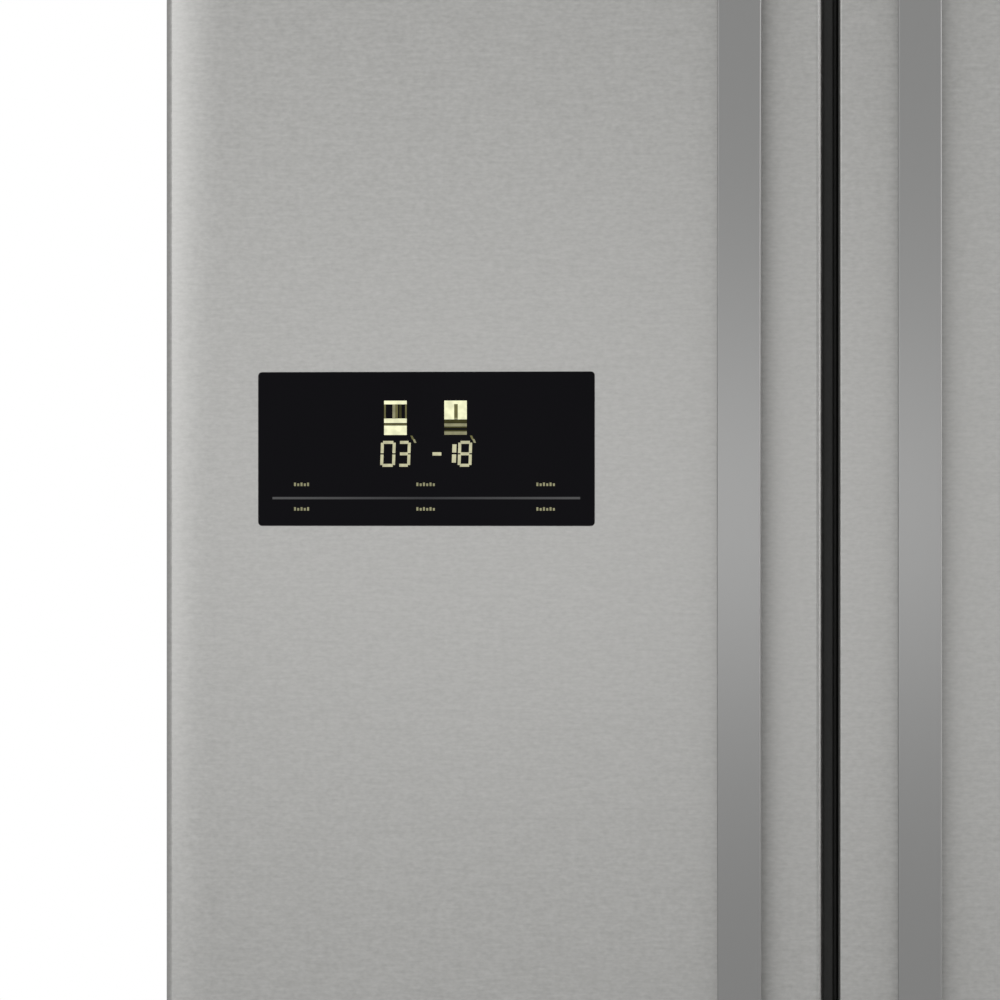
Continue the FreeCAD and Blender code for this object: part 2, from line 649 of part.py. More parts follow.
def fan_blades(label, centre, axis):
    """Five pitched blades on a hub with a bore, spinning about X or Y."""
    hub_radius = size("fan_hub")
    reach = size("fan_radius")
    thick = size("fan_thick - 4 * slide_gap")
    bore = size("axle_radius - 1 + running_fit")
    wide = size("blade_wide")
    leaf = size("blade_thick")
    root = hub_radius - size("cover_wall")
    shape = Part.makeCylinder(hub_radius, thick, FreeCAD.Vector(0, 0, -thick / 2))
    count = 5
    for index in range(count):
        blade = Part.makeBox(reach - root, wide, leaf, FreeCAD.Vector(root, -wide / 2, -leaf / 2))
        blade.rotate(FreeCAD.Vector(), FreeCAD.Vector(1, 0, 0), size("blade_pitch"))
        blade.rotate(FreeCAD.Vector(), FreeCAD.Vector(0, 0, 1), 360 * index / count)
        shape = shape.fuse(blade)
    sweep = Part.makeCylinder(reach, thick, FreeCAD.Vector(0, 0, -thick / 2))
    shape = shape.common(sweep)
    hole = Part.makeCylinder(bore, thick, FreeCAD.Vector(0, 0, -thick / 2))
    shape = shape.cut(hole)
    shaped(label, shape, centre, ALONG_X if axis == "x" else ALONG_Y)


def machine_room():
    compressor()
    condenser()
    fan_blades("condenser_fan",
               ("fan_x", "room_middle", "fan_level"), "x")
    pan_x = "condenser_x + pan_shift"
    floor = "machine_top - pan_drop"
    outer = block((pan_x + " - pan_wide / 2", pan_x + " + pan_wide / 2"),
                  ("machine_front + pan_front", "back - pan_back"), (floor, floor + " + pan_deep"))
    inner = block((pan_x + " - pan_wide / 2 + pan_wall", pan_x + " + pan_wide / 2 - pan_wall"),
                  ("machine_front + pan_front + pan_wall", "back - pan_back - pan_wall"),
                  (floor + " + pan_wall", "machine_top"))
    node("drain_pan", cut(outer, [inner], "DrainPan"))
    cover = block(("-inside", "inside"), ("back - sheet_steel", "back"),
                  ("base_top + snug", "machine_top - snug"))
    slots = []
    columns = 14
    for column in range(columns):
        low, high = spread("louvre_margin - side", "side - louvre_margin", columns, column, "louvre_wide")
        for row in range(6):
            floor = "base_top + louvre_rise + %d * louvre_pitch" % row
            slots.append(block((low, high), ("back - 4 * sheet_steel", "back + 1"),
                               (floor, floor + " + louvre_tall")))
    gland = ("side - gland_in", "back - gland_inside", "base_top + gland_rise")
    gland_hole = rod("gland_radius", "gland_inside + 4", gland, ALONG_Y)
    node("machine_cover", cut(cover, [*slots, gland_hole], "MachineCover"))
    collar = rod("gland_collar", "gland_inside - 2", gland, ALONG_Y)
    neck = rod("gland_radius - snug", "gland_inside", gland, ALONG_Y)
    bore = rod("gland_bore", "3 * gland_inside", (gland[0], "back - 2 * gland_inside", gland[2]), ALONG_Y)
    node("cord_gland", cut(fuse([collar, neck]), [bore], "CordGland"))


# --- Inside the compartments -----------------------------------------------

def ducts():
    """The rear air panels, the coil behind the freezer's and its fan."""
    fan_z = "hump_top + duct_fan_rise"
    fan_x = "(freezer_x0 + freezer_x1) / 2"
    panel = block(("freezer_x0 + snug", "freezer_x1 - snug"), ("duct_y", "duct_y + duct_thick"),
                  ("hump_top + snug", "cave_top - snug"))
    holes = [rod("fan_radius - 12", "duct_thick + 2", (fan_x, "duct_y - 1", fan_z), ALONG_Y)]
    for row in range(4):
        floor, ceiling = spread("hump_top + duct_vent_rise", "cave_top - duct_vent_drop", 4, row,
                                "duct_vent_tall")
        for column in range(4):
            low, high = spread("freezer_x0 + duct_margin", "freezer_x1 - duct_margin", 4, column,
                               "duct_vent_wide")
            holes.append(block((low, high), ("duct_y - 1", "duct_y + duct_thick + 1"), (floor, ceiling)))
    guard = [block((fan_x + " - guard_bar / 2", fan_x + " + guard_bar / 2"),
                   ("duct_y", "duct_y + guard_bar / 2"),
                   (fan_z + " - fan_radius", fan_z + " + fan_radius")),
             block((fan_x + " - fan_radius", fan_x + " + fan_radius"),
                   ("duct_y", "duct_y + guard_bar / 2"),
                   (fan_z + " - guard_bar / 2", fan_z + " + guard_bar / 2")),
             rod("axle_radius - 1", "fan_thick + duct_thick", (fan_x, "duct_y + 1", fan_z), ALONG_Y)]
    node("freezer_duct_panel", fuse([cut(panel, holes), *guard], "FreezerDuct"))
    fan_blades("evaporator_fan", (fan_x, "duct_y + duct_thick + fan_thick / 2 + 1", fan_z), "y")

    fins = []
    count = 16
    for index in range(count):
        low, high = spread("freezer_x0 + 18", "freezer_x1 - 18", count, index, "cold_fin")
        fins.append(block((low, high), ("duct_y + 12", "cave_back - 8"),
                          ("hump_top + cold_rise", "hump_top + cold_rise + cold_tall")))
    for row in range(6):
        fins.append(rod("coil_tube", "freezer_x1 - freezer_x0 - 24",
                        ("freezer_x0 + 12", "(duct_y + cave_back) / 2",
                         "hump_top + cold_rise + (%d + 0.5) * coil_pitch" % row), ALONG_X))
    node("evaporator", fuse(fins, "Evaporator"))

    middle_x = "(fridge_x0 + fridge_x1) / 2"
    column = block((middle_x + " - column_wide / 2", middle_x + " + column_wide / 2"),
                   ("cave_back - column_deep", "cave_back - snug"),
                   ("frame_top + column_rise", "cave_top - column_drop"))
    vents = []
    for row in range(6):
        floor, ceiling = spread("frame_top + column_vent_rise", "cave_top - column_vent_drop", 6, row,
                                "column_vent_tall")
        vents.append(block((middle_x + " - column_vent_wide / 2", middle_x + " + column_vent_wide / 2"),
                           ("cave_back - column_deep - 1", "cave_back - column_deep + column_vent_deep"),
                           (floor, ceiling)))
    node("fridge_duct_panel", cut(column, vents, "FridgeDuct"))


def shelf(label, low, high, rear, level):
    """A glass shelf with a trim along its front and back edges."""
    xs = (low + " + shelf_side", high + " - shelf_side")
    pane = block(xs, ("loose_y + trim_deep - trim_lap", rear + " - shelf_back_gap"),
                 (level, level + " + shelf_thick"))
    front = block(xs, ("loose_y", "loose_y + trim_deep"),
                  (level + " - shelf_trim / 2", level + " + shelf_trim / 2"))
    back_trim = block(xs, (rear + " - shelf_back_gap - back_trim", rear + " - shelf_back_gap"),
                      (level + " - trim_lap", level + " + shelf_thick + back_lip"))
    node(label, fuse([pane, front, back_trim], "Shelf"))


def shelves():
    for index in range(2):
        shelf("freezer_shelf_%d" % (index + 1), "freezer_x0", "freezer_x1", "duct_y",
              "frame_top + freezer_shelf_rise + %d * freezer_shelf_step" % index)
    for index in range(3):
        shelf("fridge_shelf_%d" % (index + 1), "fridge_x0", "fridge_x1", "(cave_back - column_deep)",
              "frame_top + fridge_shelf_rise + %d * fridge_shelf_step" % index)


def from_pin(side_name, near, far):
    """X range from two distances inward of a door's hinge pin."""
    if side_name == "fridge":
        return "side - pin_inset - (%s)" % far, "side - pin_inset - (%s)" % near
    return "pin_inset - side + (%s)" % near, "pin_inset - side + (%s)" % far


def drawer_width(side_name):
    if side_name == "fridge":
        return "(side - pin_inset - drawer_hinge_gap) - (fridge_x0 + drawer_side_gap)"
    return "(freezer_x1 - drawer_side_gap) - (pin_inset - side + drawer_hinge_gap)"


def drawer_frame(label, side_name, rear):
    """The fixed frame around two drawers: glass top, two cheeks and their runners."""
    wide = drawer_width(side_name)
    pieces = []
    low, high = ("fridge_x0", "fridge_x1") if side_name == "fridge" else ("freezer_x0", "freezer_x1")
    pieces.append(block((low + " + shelf_side", high + " - shelf_side"),
                        ("loose_y", rear + " - shelf_back_gap"),
                        ("frame_top - runner_thick", "frame_top")))
    near = "drawer_hinge_gap - slide_gap"
    far = "drawer_hinge_gap + slide_gap + " + wide
    for inner, outer, ledge in ((near, near + " - cheek", near + " + runner_wide"),
                                (far, far + " + cheek", far + " - runner_wide")):
        first, second = (outer, inner) if outer.startswith(near + " -") else (inner, outer)
        pieces.append(block(from_pin(side_name, first, second),
                            ("loose_y + frame_inset", "hump_front - frame_inset"),
                            ("cave_floor + snug", "frame_top")))
        pieces.append(block(from_pin(side_name, first, second),
                            ("loose_y + frame_inset", rear + " - shelf_back_gap"),
                            ("hump_top + snug", "frame_top")))
        first, second = (inner, ledge) if ledge.endswith("+ runner_wide") else (ledge, inner)
        pieces.append(block(from_pin(side_name, first, second),
                            ("loose_y + frame_inset", "hump_front - frame_inset"),
                            ("cave_floor + snug", "cave_floor + snug + runner_thick")))
        pieces.append(block(from_pin(side_name, first, second),
                            ("loose_y + frame_inset", rear + " - shelf_back_gap"),
                            ("hump_top + snug", "hump_top + snug + runner_thick")))
    node(label, fuse(pieces, "DrawerFrame"))


def drawer(label, side_name, floor, tall, rear):
    """A moulded drawer with a finger lip along its front."""
    wide = drawer_width(side_name)
    xs = from_pin(side_name, "drawer_hinge_gap", "drawer_hinge_gap + " + wide)
    inner_xs = from_pin(side_name, "drawer_hinge_gap + drawer_wall",
                        "drawer_hinge_gap - drawer_wall + " + wide)
    outer = block(xs, ("loose_y", rear), (floor, floor + " + " + tall))
    outer = round_edges(outer, "3 * drawer_wall", upright)
    inner = block(inner_xs, ("loose_y + 2 * drawer_wall", rear + " - drawer_wall"),
                  (floor + " + drawer_wall", floor + " + 2 * (" + tall + ")"))
    lip = block(from_pin(side_name, "drawer_hinge_gap + lip_in", "drawer_hinge_gap - lip_in + " + wide),
                ("loose_y - 1", "loose_y + lip_deep"),
                (floor + " + " + tall + " - lip_drop", floor + " + " + tall + " - lip_drop + lip_tall"))
    node(label, cut(outer, [inner, lip], "Drawer"))


def drawers():
    for side_name, names, rear in (("freezer", ("freezer_drawer_lower", "freezer_drawer_upper"), "duct_y"),
                                   ("fridge", ("crisper_lower", "crisper_upper"),
                                    "(cave_back - column_deep)")):
        frame = "freezer_drawer_frame" if side_name == "freezer" else "crisper_frame"
        drawer_frame(frame, side_name, rear)
        drawer(names[0], side_name, "lower_z", "drawer_lower_height", "hump_front - 10")
        drawer(names[1], side_name, "upper_z", "drawer_upper_height", rear + " - shelf_back_gap - 4")


# --- Doors -----------------------------------------------------------------

def door_outline(side_name, shrink):
    """A door's plan outline, shrunk by a wall: soft roll outside, small corner inside."""
    wide = size(side_name + "_door_width")
    front = size("door_front")
    rear = size("door_back")
    corner = size("corner_radius")
    latch = size("latch_radius")
    crown = size("crown_radius")
    angle = math.radians(size("crown_angle"))
    flat = (crown - corner) * math.sin(angle) + corner
    small = (corner, crown - (crown - corner) * math.cos(angle))

    def spot(u, v):
        x = size("side") - u if side_name == "fridge" else u - size("side")
        return FreeCAD.Vector(x, front + v, 0)

    def on_circle(centre, radius, turn):
        return spot(centre[0] - radius * math.sin(turn), centre[1] - radius * math.cos(turn))

    big = (flat, crown)
    last = (wide - latch, latch)
    quarter = math.pi / 2
    start = on_circle(big, crown - shrink, 0)
    joint = on_circle(big, crown - shrink, angle)
    heel = on_circle(small, corner - shrink, quarter)
    toe = spot(wide - latch, shrink)
    turn = spot(wide - shrink, latch)
    depth = rear - front
    edges = [
        Part.Arc(start, on_circle(big, crown - shrink, angle / 2), joint),
        Part.Arc(joint, on_circle(small, corner - shrink, (angle + quarter) / 2), heel),
        Part.LineSegment(heel, spot(shrink, depth)),
        Part.LineSegment(spot(shrink, depth), spot(wide - shrink, depth)),
        Part.LineSegment(spot(wide - shrink, depth), turn),
        Part.Arc(turn, on_circle(last, latch - shrink, -quarter / 2), toe),
        Part.LineSegment(toe, start),
    ]
    return Part.Face(Part.Wire([edge.toShape() for edge in edges]))


def upright_prism(face, low, high):
    prism = face.extrude(FreeCAD.Vector(0, 0, size(high) - size(low)))
    prism.translate(FreeCAD.Vector(0, 0, size(low)))
    return prism


def display_box(grow, front, rear):
    """The display's outline as a block, grown by a clearance."""
    low = size("display_left - side") - grow
    floor = size("display_level - display_height / 2") - grow
    return Part.makeBox(size("display_width") + 2 * grow, rear - front, size("display_height") + 2 * grow,
                        FreeCAD.Vector(low, front, floor))


def door_shell(side_name):
    """Steel skin, foam core and the two end caps with their hinge bores."""
    thick = size("sheet_steel")
    gap = size("running_fit")
    low = "door_bottom + cap_height"
    high = "door_top - cap_height"
    outer = upright_prism(door_outline(side_name, 0), low, high)
    hollow = upright_prism(door_outline(side_name, thick), low, high)
    skin = outer.cut(hollow)
    open_back = Part.makeBox(size("width"), thick + 2, size("height"),
                             FreeCAD.Vector(-size("side"), size("door_back") - thick, 0))
    skin = skin.cut(open_back)
    core = upright_prism(door_outline(side_name, thick + gap), low, high)
    if side_name == "freezer":
        front = size("door_front")
        skin = skin.cut(display_box(size("snug"), front - 1, front + 3 * thick))
        core = core.cut(display_box(size("snug"), front - 1, front + size("display_thick + snug")))
    trim = Part.makeBox(size("width"), size("liner_wall") + gap + 10, size("height"),
                        FreeCAD.Vector(-size("side"), size("door_back - liner_wall") - gap, 0))
    core = core.cut(trim)
    shaped(side_name + "_door_skin", skin)
    shaped(side_name + "_door_core", core)

    pin_x = size("side - pin_inset") * (1 if side_name == "fridge" else -1)
    pin_y = size("pin_y")
    bore = size("pin_radius + running_fit")
    deep = size("pin_reach + slide_gap")
    caps = []
    for floor, ceiling, hole in (("door_bottom", low, size("door_bottom")),
                                 (high, "door_top", size("door_top") - deep)):
        cap = upright_prism(door_outline(side_name, 0), floor, ceiling)
        caps.append(cap.cut(Part.makeCylinder(bore, deep, FreeCAD.Vector(pin_x, pin_y, hole))))
    shaped(side_name + "_door_caps", Part.makeCompound(caps))


def border(outer_xs, inner_xs, ys, outer_zs, inner_zs):
    """Four bars around an opening: two uprights of full height and two rails between them."""
    return [block((outer_xs[0], inner_xs[0]), ys, outer_zs, "Upright"),
            block((inner_xs[1], outer_xs[1]), ys, outer_zs, "Upright"),
            block(inner_xs, ys, (outer_zs[0], inner_zs[0]), "Rail"),
            block(inner_xs, ys, (inner_zs[1], outer_zs[1]), "Rail")]


def door_inside(side_name):
    """Inner liner with the raised frame that holds the bins, and the magnetic gasket."""
    wide = side_name + "_door_width"
    low, high = ("fridge_x0", "fridge_x1") if side_name == "fridge" else ("freezer_x0", "freezer_x1")
    edges = from_pin(side_name, "liner_inset - pin_inset", wide + " - pin_inset - liner_inset")
    sheet = block(edges, ("door_back - liner_wall", "door_back"),
                  ("door_bottom + cap_height + slide_gap", "door_top - cap_height - slide_gap"))
    frame = border((low + " + dyke_clear", high + " - dyke_clear"),
                   (low + " + dyke_clear + dyke_width", high + " - dyke_clear - dyke_width"),
                   ("door_back", "door_back + seal_gap + dyke_depth"),
                   ("cave_floor + dyke_clear", "cave_top - dyke_clear"),
                   ("frame_low", "cave_top - dyke_clear - dyke_width"))
    node(side_name + "_door_liner", bunch([sheet, *frame], "DoorLiner"))

    seal_edges = from_pin(side_name, "gasket_hinge - pin_inset", wide + " - gasket_latch - pin_inset")
    seal_inner = from_pin(side_name, "gasket_hinge + gasket_width - pin_inset",
                          wide + " - gasket_latch - gasket_width - pin_inset")
    floor = "cave_floor - gasket_lap"
    roof = "cave_top + gasket_lap"
    seal = border(seal_edges, seal_inner, ("door_back", "case_front - snug"), (floor, roof),
                  (floor + " + gasket_width", roof + " - gasket_width"))
    node(side_name + "_door_gasket", bunch(seal, "Gasket"))


def door_bins(side_name, levels):
    """Bins between the rails of the door's inner frame."""
    low, high = ("fridge_x0", "fridge_x1") if side_name == "fridge" else ("freezer_x0", "freezer_x1")
    inset = "dyke_clear + dyke_width + slide_gap"
    xs = ("%s + %s" % (low, inset), "%s - (%s)" % (high, inset))
    for index, (floor, tall) in enumerate(levels):
        ys = ("door_back + snug", "door_back + bin_depth")
        outer = block(xs, ys, (floor, "%s + %s" % (floor, tall)))
        outer = round_edges(outer, "4 * bin_wall", upright)
        inner = block((xs[0] + " + bin_wall", xs[1] + " - bin_wall"),
                      (ys[0] + " + bin_wall", ys[1] + " - bin_wall"),
                      (floor + " + bin_wall", "%s + 2 * %s" % (floor, tall)))
        inner = round_edges(inner, "3 * bin_wall", upright)
        node("%s_bin_%d" % (side_name, index + 1), cut(outer, [inner], "Bin"))
    return xs, levels[-1]


def dairy_lid(xs, level):
    """Flap on the top bin of the fridge door, with a round hinge edge at its rear."""
    wide = (xs[0] + " + bin_wall + slide_gap", xs[1] + " - bin_wall - slide_gap")
    floor = "%s + %s + snug" % level
    hinge_y = "door_back + lid_back"
    flap = block(wide, (hinge_y, "door_back + bin_depth"), (floor, floor + " + bin_wall"))
    barrel = rod("lid_barrel", "(%s) - (%s)" % (wide[1], wide[0]),
                 (wide[0], hinge_y, floor + " + lid_barrel"),
                 ALONG_X)
    node("dairy_lid", fuse([flap, barrel], "DairyLid"))


def doors():
    """Both doors with their bins, spread over equal fields of the frame inside each door."""
    levels = ["frame_low + bin_lift + %d * bin_field" % field for field in range(4)]
    freezer_levels = [(level, "bin_height") for level in levels[:3]]
    fridge_levels = [(levels[0], "bin_height"), (levels[1], "bin_height"), (levels[3], "dairy_height")]
    for side_name, bin_levels in (("freezer", freezer_levels), ("fridge", fridge_levels)):
        door_shell(side_name)
        door_inside(side_name)
        xs, last = door_bins(side_name, bin_levels)
    dairy_lid(xs, last)


def display():
    """Glass panel let into the freezer door, its corners slightly rounded."""
    front = size("door_front - display_proud")
    glass = display_box(0, front, front + size("display_thick"))
    corners = [edge for edge in glass.Edges if abs(edge.tangentAt(edge.FirstParameter).y) > 0.99]
    shaped("display_glass", glass.makeFillet(2.2, corners))


def handles():
    """Two bowed bars, each on two posts."""
    length = size("handle_length")
    bow = size("handle_bow")
    thick = size("handle_thick")
    wide = size("handle_width")
    reach = size("handle_reach")
    front = size("door_front")
    level = size("handle_level")
    radius = (length * length / 4 + bow * bow) / (2 * bow)
    middle = FreeCAD.Vector(0, front - reach + radius, level)

    def on_bow(offset, height):
        """The point of the bar's bow at a height, offset in from its face."""
        arm = radius - offset
        return FreeCAD.Vector(0, middle.y - math.sqrt(arm * arm - height * height), level + height)

    half = length / 2
    outer = Part.Arc(on_bow(0, half), on_bow(0, 0), on_bow(0, -half))
    inner = Part.Arc(on_bow(thick, -half), on_bow(thick, 0), on_bow(thick, half))
    wire = Part.Wire([
        outer.toShape(),
        Part.LineSegment(on_bow(0, -half), on_bow(thick, -half)).toShape(),
        inner.toShape(),
        Part.LineSegment(on_bow(thick, half), on_bow(0, half)).toShape(),
    ])
    face = Part.Face(wire)
    face.translate(FreeCAD.Vector(-wide / 2, 0, 0))
    bar = face.extrude(FreeCAD.Vector(wide, 0, 0))
    bar = bar.makeFillet(size("handle_edge"), bar.Edges)
    post_height = half - size("post_inset")
    post_front = on_bow(thick, post_height).y
    for side_name, sign in (("freezer", -1), ("fridge", 1)):
        middle_x = "middle + %d * handle_offset" % sign
        posts = []
        for height in (-post_height, post_height):
            start = FreeCAD.Vector(0, post_front - 3, level + height)
            posts.append(Part.makeCylinder(size("post_radius"), front - post_front + 3, start,
                                           FreeCAD.Vector(0, 1, 0)).cut(bar))
        shaped(side_name + "_handle", bar, (middle_x, "0", "0"))
        shaped(side_name + "_handle_posts", Part.makeCompound(posts), (middle_x, "0", "0"))


# --- Hinges ----------------------------------------------------------------

def on_top(edge):
    roof = size("height") - 1
    return all(vertex.Point.z > roof for vertex in edge.Vertexes)


def hinges():
    """Top and bottom hinge plates with their pins, and the covers over the top ones."""
    tops = []
    covers = []
    bottoms = []
    for side_name in ("freezer", "fridge"):
        pin_x = from_pin(side_name, "0", "0")[0]
        xs = from_pin(side_name, "-hinge_lead", "hinge_run")
        plate = block(xs, ("pin_y - hinge_half", "case_front + hinge_anchor"),
                      ("case_top", "case_top + hinge_plate"))
        pin = rod("pin_radius", "pin_reach + door_drop + hinge_plate / 2",
                  (pin_x, "pin_y", "door_top - pin_reach"))
        tops.append(fuse([plate, pin], "TopHinge"))
        shell = block(from_pin(side_name, "snug - pin_inset", "hinge_run + 2 * cover_wall"),
                      ("pin_y - hinge_half - cover_margin",
                       "case_front + hinge_anchor + cover_margin + cover_wall"),
                      ("case_top", "height"))
        shell = round_edges(shell, "cover_round", lambda edge: upright(edge) or on_top(edge))
        room = block(from_pin(side_name, "cover_wall - pin_inset", "hinge_run + cover_wall"),
                     ("pin_y - hinge_half - cover_margin + cover_wall",
                      "case_front + hinge_anchor + cover_margin"),
                     ("case_top - 1", "height - cover_wall"))
        covers.append(cut(shell, [room], "HingeCover"))
        arm = block(xs, ("pin_y - hinge_half", "case_front"),
                    ("door_bottom - arm_gap - arm_thick", "door_bottom - arm_gap"))
        leg = block(xs, ("case_front - arm_thick", "case_front"),
                    ("base_bottom + leg_rise", "door_bottom - arm_gap"))
        pin = rod("pin_radius", "pin_reach + arm_thick", (pin_x, "pin_y", "door_bottom - arm_thick"))
        bottoms.append(fuse([arm, leg, pin], "BottomHinge"))
    node("top_hinges", bunch(tops, "TopHinges"))
    node("hinge_covers", bunch(covers, "HingeCovers"))
    node("bottom_hinges", bunch(bottoms, "BottomHinges"))


def check_and_write():
    """Stops on any object that failed, then writes one file for each sub-part."""
    DOC.recompute()
    for thing in DOC.Objects:
        if "Invalid" in thing.State or "Error" in thing.State:
            raise RuntimeError("object failed: %s %s" % (thing.Label, thing.State))
    os.makedirs("parts", exist_ok=True)
    for piece in NODES:
        if piece.Shape.isNull() or not piece.Shape.isValid():
            raise RuntimeError("bad shape: " + piece.Label)
        piece.Shape.exportStep("parts/%s.step" % piece.Label)
    print(len(NODES), "sub-parts written")


fill_sheet()
side_panels()
top_and_back()
liners()
foam()
base_frame()
feet_and_rollers()
kick_grille()
machine_room()
ducts()
shelves()
drawers()
doors()
display()
handles()
hinges()
check_and_write()
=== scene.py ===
import math

import bmesh
import bpy
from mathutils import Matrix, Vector


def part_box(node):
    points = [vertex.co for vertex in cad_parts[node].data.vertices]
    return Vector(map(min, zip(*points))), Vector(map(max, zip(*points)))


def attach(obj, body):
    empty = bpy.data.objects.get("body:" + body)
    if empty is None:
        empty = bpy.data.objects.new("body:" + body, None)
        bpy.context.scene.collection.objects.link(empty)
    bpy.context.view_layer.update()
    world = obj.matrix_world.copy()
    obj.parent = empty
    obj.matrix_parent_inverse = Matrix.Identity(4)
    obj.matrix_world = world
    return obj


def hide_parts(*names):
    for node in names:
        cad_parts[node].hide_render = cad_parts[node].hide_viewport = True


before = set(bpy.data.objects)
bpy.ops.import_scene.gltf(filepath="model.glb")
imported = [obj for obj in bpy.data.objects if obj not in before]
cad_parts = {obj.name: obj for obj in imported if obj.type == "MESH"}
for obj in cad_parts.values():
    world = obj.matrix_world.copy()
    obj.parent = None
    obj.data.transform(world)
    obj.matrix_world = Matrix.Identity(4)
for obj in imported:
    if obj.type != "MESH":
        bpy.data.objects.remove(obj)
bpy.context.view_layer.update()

MM = 0.001


# --- Shader writing ----------------------------------------------------------

class Number:
    """A socket that carries a number, with arithmetic that adds Math nodes."""

    def __init__(self, nodes, socket):
        self.nodes = nodes
        self.socket = socket

    def maths(self, operation, *others):
        inputs = {0: self}
        for index, other in enumerate(others, start=1):
            inputs[index] = other
        return self.nodes.number("ShaderNodeMath", {"operation": operation}, inputs)

    def flipped(self, operation, other):
        return self.nodes.number("ShaderNodeMath", {"operation": operation}, {0: other, 1: self})

    def __add__(self, other):
        return self.maths("ADD", other)

    def __radd__(self, other):
        return self.flipped("ADD", other)

    def __sub__(self, other):
        return self.maths("SUBTRACT", other)

    def __rsub__(self, other):
        return self.flipped("SUBTRACT", other)

    def __mul__(self, other):
        return self.maths("MULTIPLY", other)

    def __rmul__(self, other):
        return self.flipped("MULTIPLY", other)


class Nodes:
    """A node tree, written as expressions on its sockets."""

    def __init__(self, tree):
        self.tree = tree

    def add(self, kind, settings=None, inputs=None):
        """Any node: its settings first, then the values or links of its sockets."""
        node = self.tree.nodes.new(kind)
        for name, value in (settings or {}).items():
            setattr(node, name, value)
        for key, value in (inputs or {}).items():
            self.plug(node.inputs[key], value)
        return node

    def plug(self, socket, value):
        if isinstance(value, Number):
            value = value.socket
        if isinstance(value, bpy.types.NodeSocket):
            self.tree.links.new(value, socket)
        else:
            socket.default_value = value

    def number(self, kind, settings=None, inputs=None):
        return Number(self, self.add(kind, settings, inputs).outputs[0])

    def ramp(self, value, low, high, start=0.0, end=1.0):
        """The value from low..high, mapped onto start..end and held there."""
        return self.number("ShaderNodeMapRange", {"clamp": True},
                           {0: value, 1: low, 2: high, 3: start, 4: end})


class Finish(Nodes):
    """One material: its fixed values, its patterns and what they drive."""

    def __init__(self, name, **constants):
        self.material = bpy.data.materials.new(name)
        self.material.use_nodes = True
        super().__init__(self.material.node_tree)
        self.shader = self.tree.nodes["Principled BSDF"]
        for socket, value in constants.items():
            self.shader.inputs[socket.replace("_", " ")].default_value = value

    def place(self, stretch=(1, 1, 1)):
        """Object coordinates, stretched along each axis."""
        coordinates = self.add("ShaderNodeTexCoord").outputs["Object"]
        return self.add("ShaderNodeMapping", None, {"Vector": coordinates, "Scale": stretch}).outputs[0]

    def axis(self, letter):
        split = self.add("ShaderNodeSeparateXYZ", None, {0: self.place()})
        return Number(self, split.outputs[letter.upper()])

    def noise(self, scale, stretch=(1, 1, 1), detail=2.0, roughness=0.5):
        return self.number("ShaderNodeTexNoise", None,
                           {"Vector": self.place(stretch), "Scale": scale, "Detail": detail,
                            "Roughness": roughness})

    def blend(self, factor, first, second):
        """Mixes two colours; the Mix node's colour sockets are 6 and 7, its result is 2."""
        node = self.add("ShaderNodeMix", {"data_type": "RGBA"},
                        {0: factor, 6: (*first, 1), 7: (*second, 1)})
        return node.outputs[2]

    def relief(self, height, depth, strength):
        return self.add("ShaderNodeBump", None,
                        {"Height": height, "Distance": depth, "Strength": strength}).outputs[0]

    def set(self, **links):
        for socket, value in links.items():
            self.plug(self.shader.inputs[socket.replace("_", " ")], value)
        return self.material


# --- Finishes ----------------------------------------------------------------

HAIR_FINE, HAIR_RUN = 460.0, 260.0
STREAK_FINE, STREAK_RUN = 560.0, 60.0
SCRATCH_DEPTH = 0.000008


def brushed_metal(name, along, light, dark, rough, scratch=1.0):
    """Metal brushed along one axis: fine short hairs with a weaker layer of longer streaks."""
    finish = Finish(name, Metallic=1.0)
    hair_scale = tuple(HAIR_RUN if axis == along else HAIR_FINE for axis in "xyz")
    streak_scale = tuple(STREAK_RUN if axis == along else STREAK_FINE for axis in "xyz")
    hair = finish.noise(1.0, hair_scale, 2.0, 0.6)
    streak = finish.noise(1.0, streak_scale, 2.0, 0.55)
    cloud = finish.noise(3.0, detail=2.0)
    grain = hair * 0.66 + streak * 0.34
    tone = finish.ramp((grain - 0.5) * scratch + 0.5, 0.30, 0.70) * 0.85 + cloud * 0.15
    spread = 0.03 * scratch
    return finish.set(Base_Color=finish.blend(tone, dark, light),
                      Roughness=finish.ramp(grain, 0.3, 0.7, rough - spread, rough + spread),
                      Normal=finish.relief(grain, SCRATCH_DEPTH * scratch, 0.5 * scratch))


def textured_plastic(name, colour, shade, rough, grain=900.0, depth=0.00006):
    """Moulded plastic with a fine spark-eroded grain and slight mottling."""
    finish = Finish(name)
    pimples = finish.noise(grain, detail=2.0)
    patches = finish.noise(9.0, detail=3.0)
    return finish.set(Base_Color=finish.blend(finish.ramp(patches, 0.3, 0.7), shade, colour),
                      Roughness=finish.ramp(pimples, 0.3, 0.7, rough - 0.06, rough + 0.06),
                      Normal=finish.relief(pimples, depth, 0.5))


def painted_sheet(name, colour, shade, rough, peel=420.0):
    """Powder-coated sheet with orange peel."""
    finish = Finish(name)
    skin = finish.noise(peel, detail=1.5)
    clouds = finish.noise(4.0, detail=3.0)
    return finish.set(Base_Color=finish.blend(finish.ramp(clouds, 0.3, 0.7), shade, colour),
                      Roughness=finish.ramp(skin, 0.3, 0.7, rough - 0.05, rough + 0.05),
                      Normal=finish.relief(skin, 0.00008, 0.5))


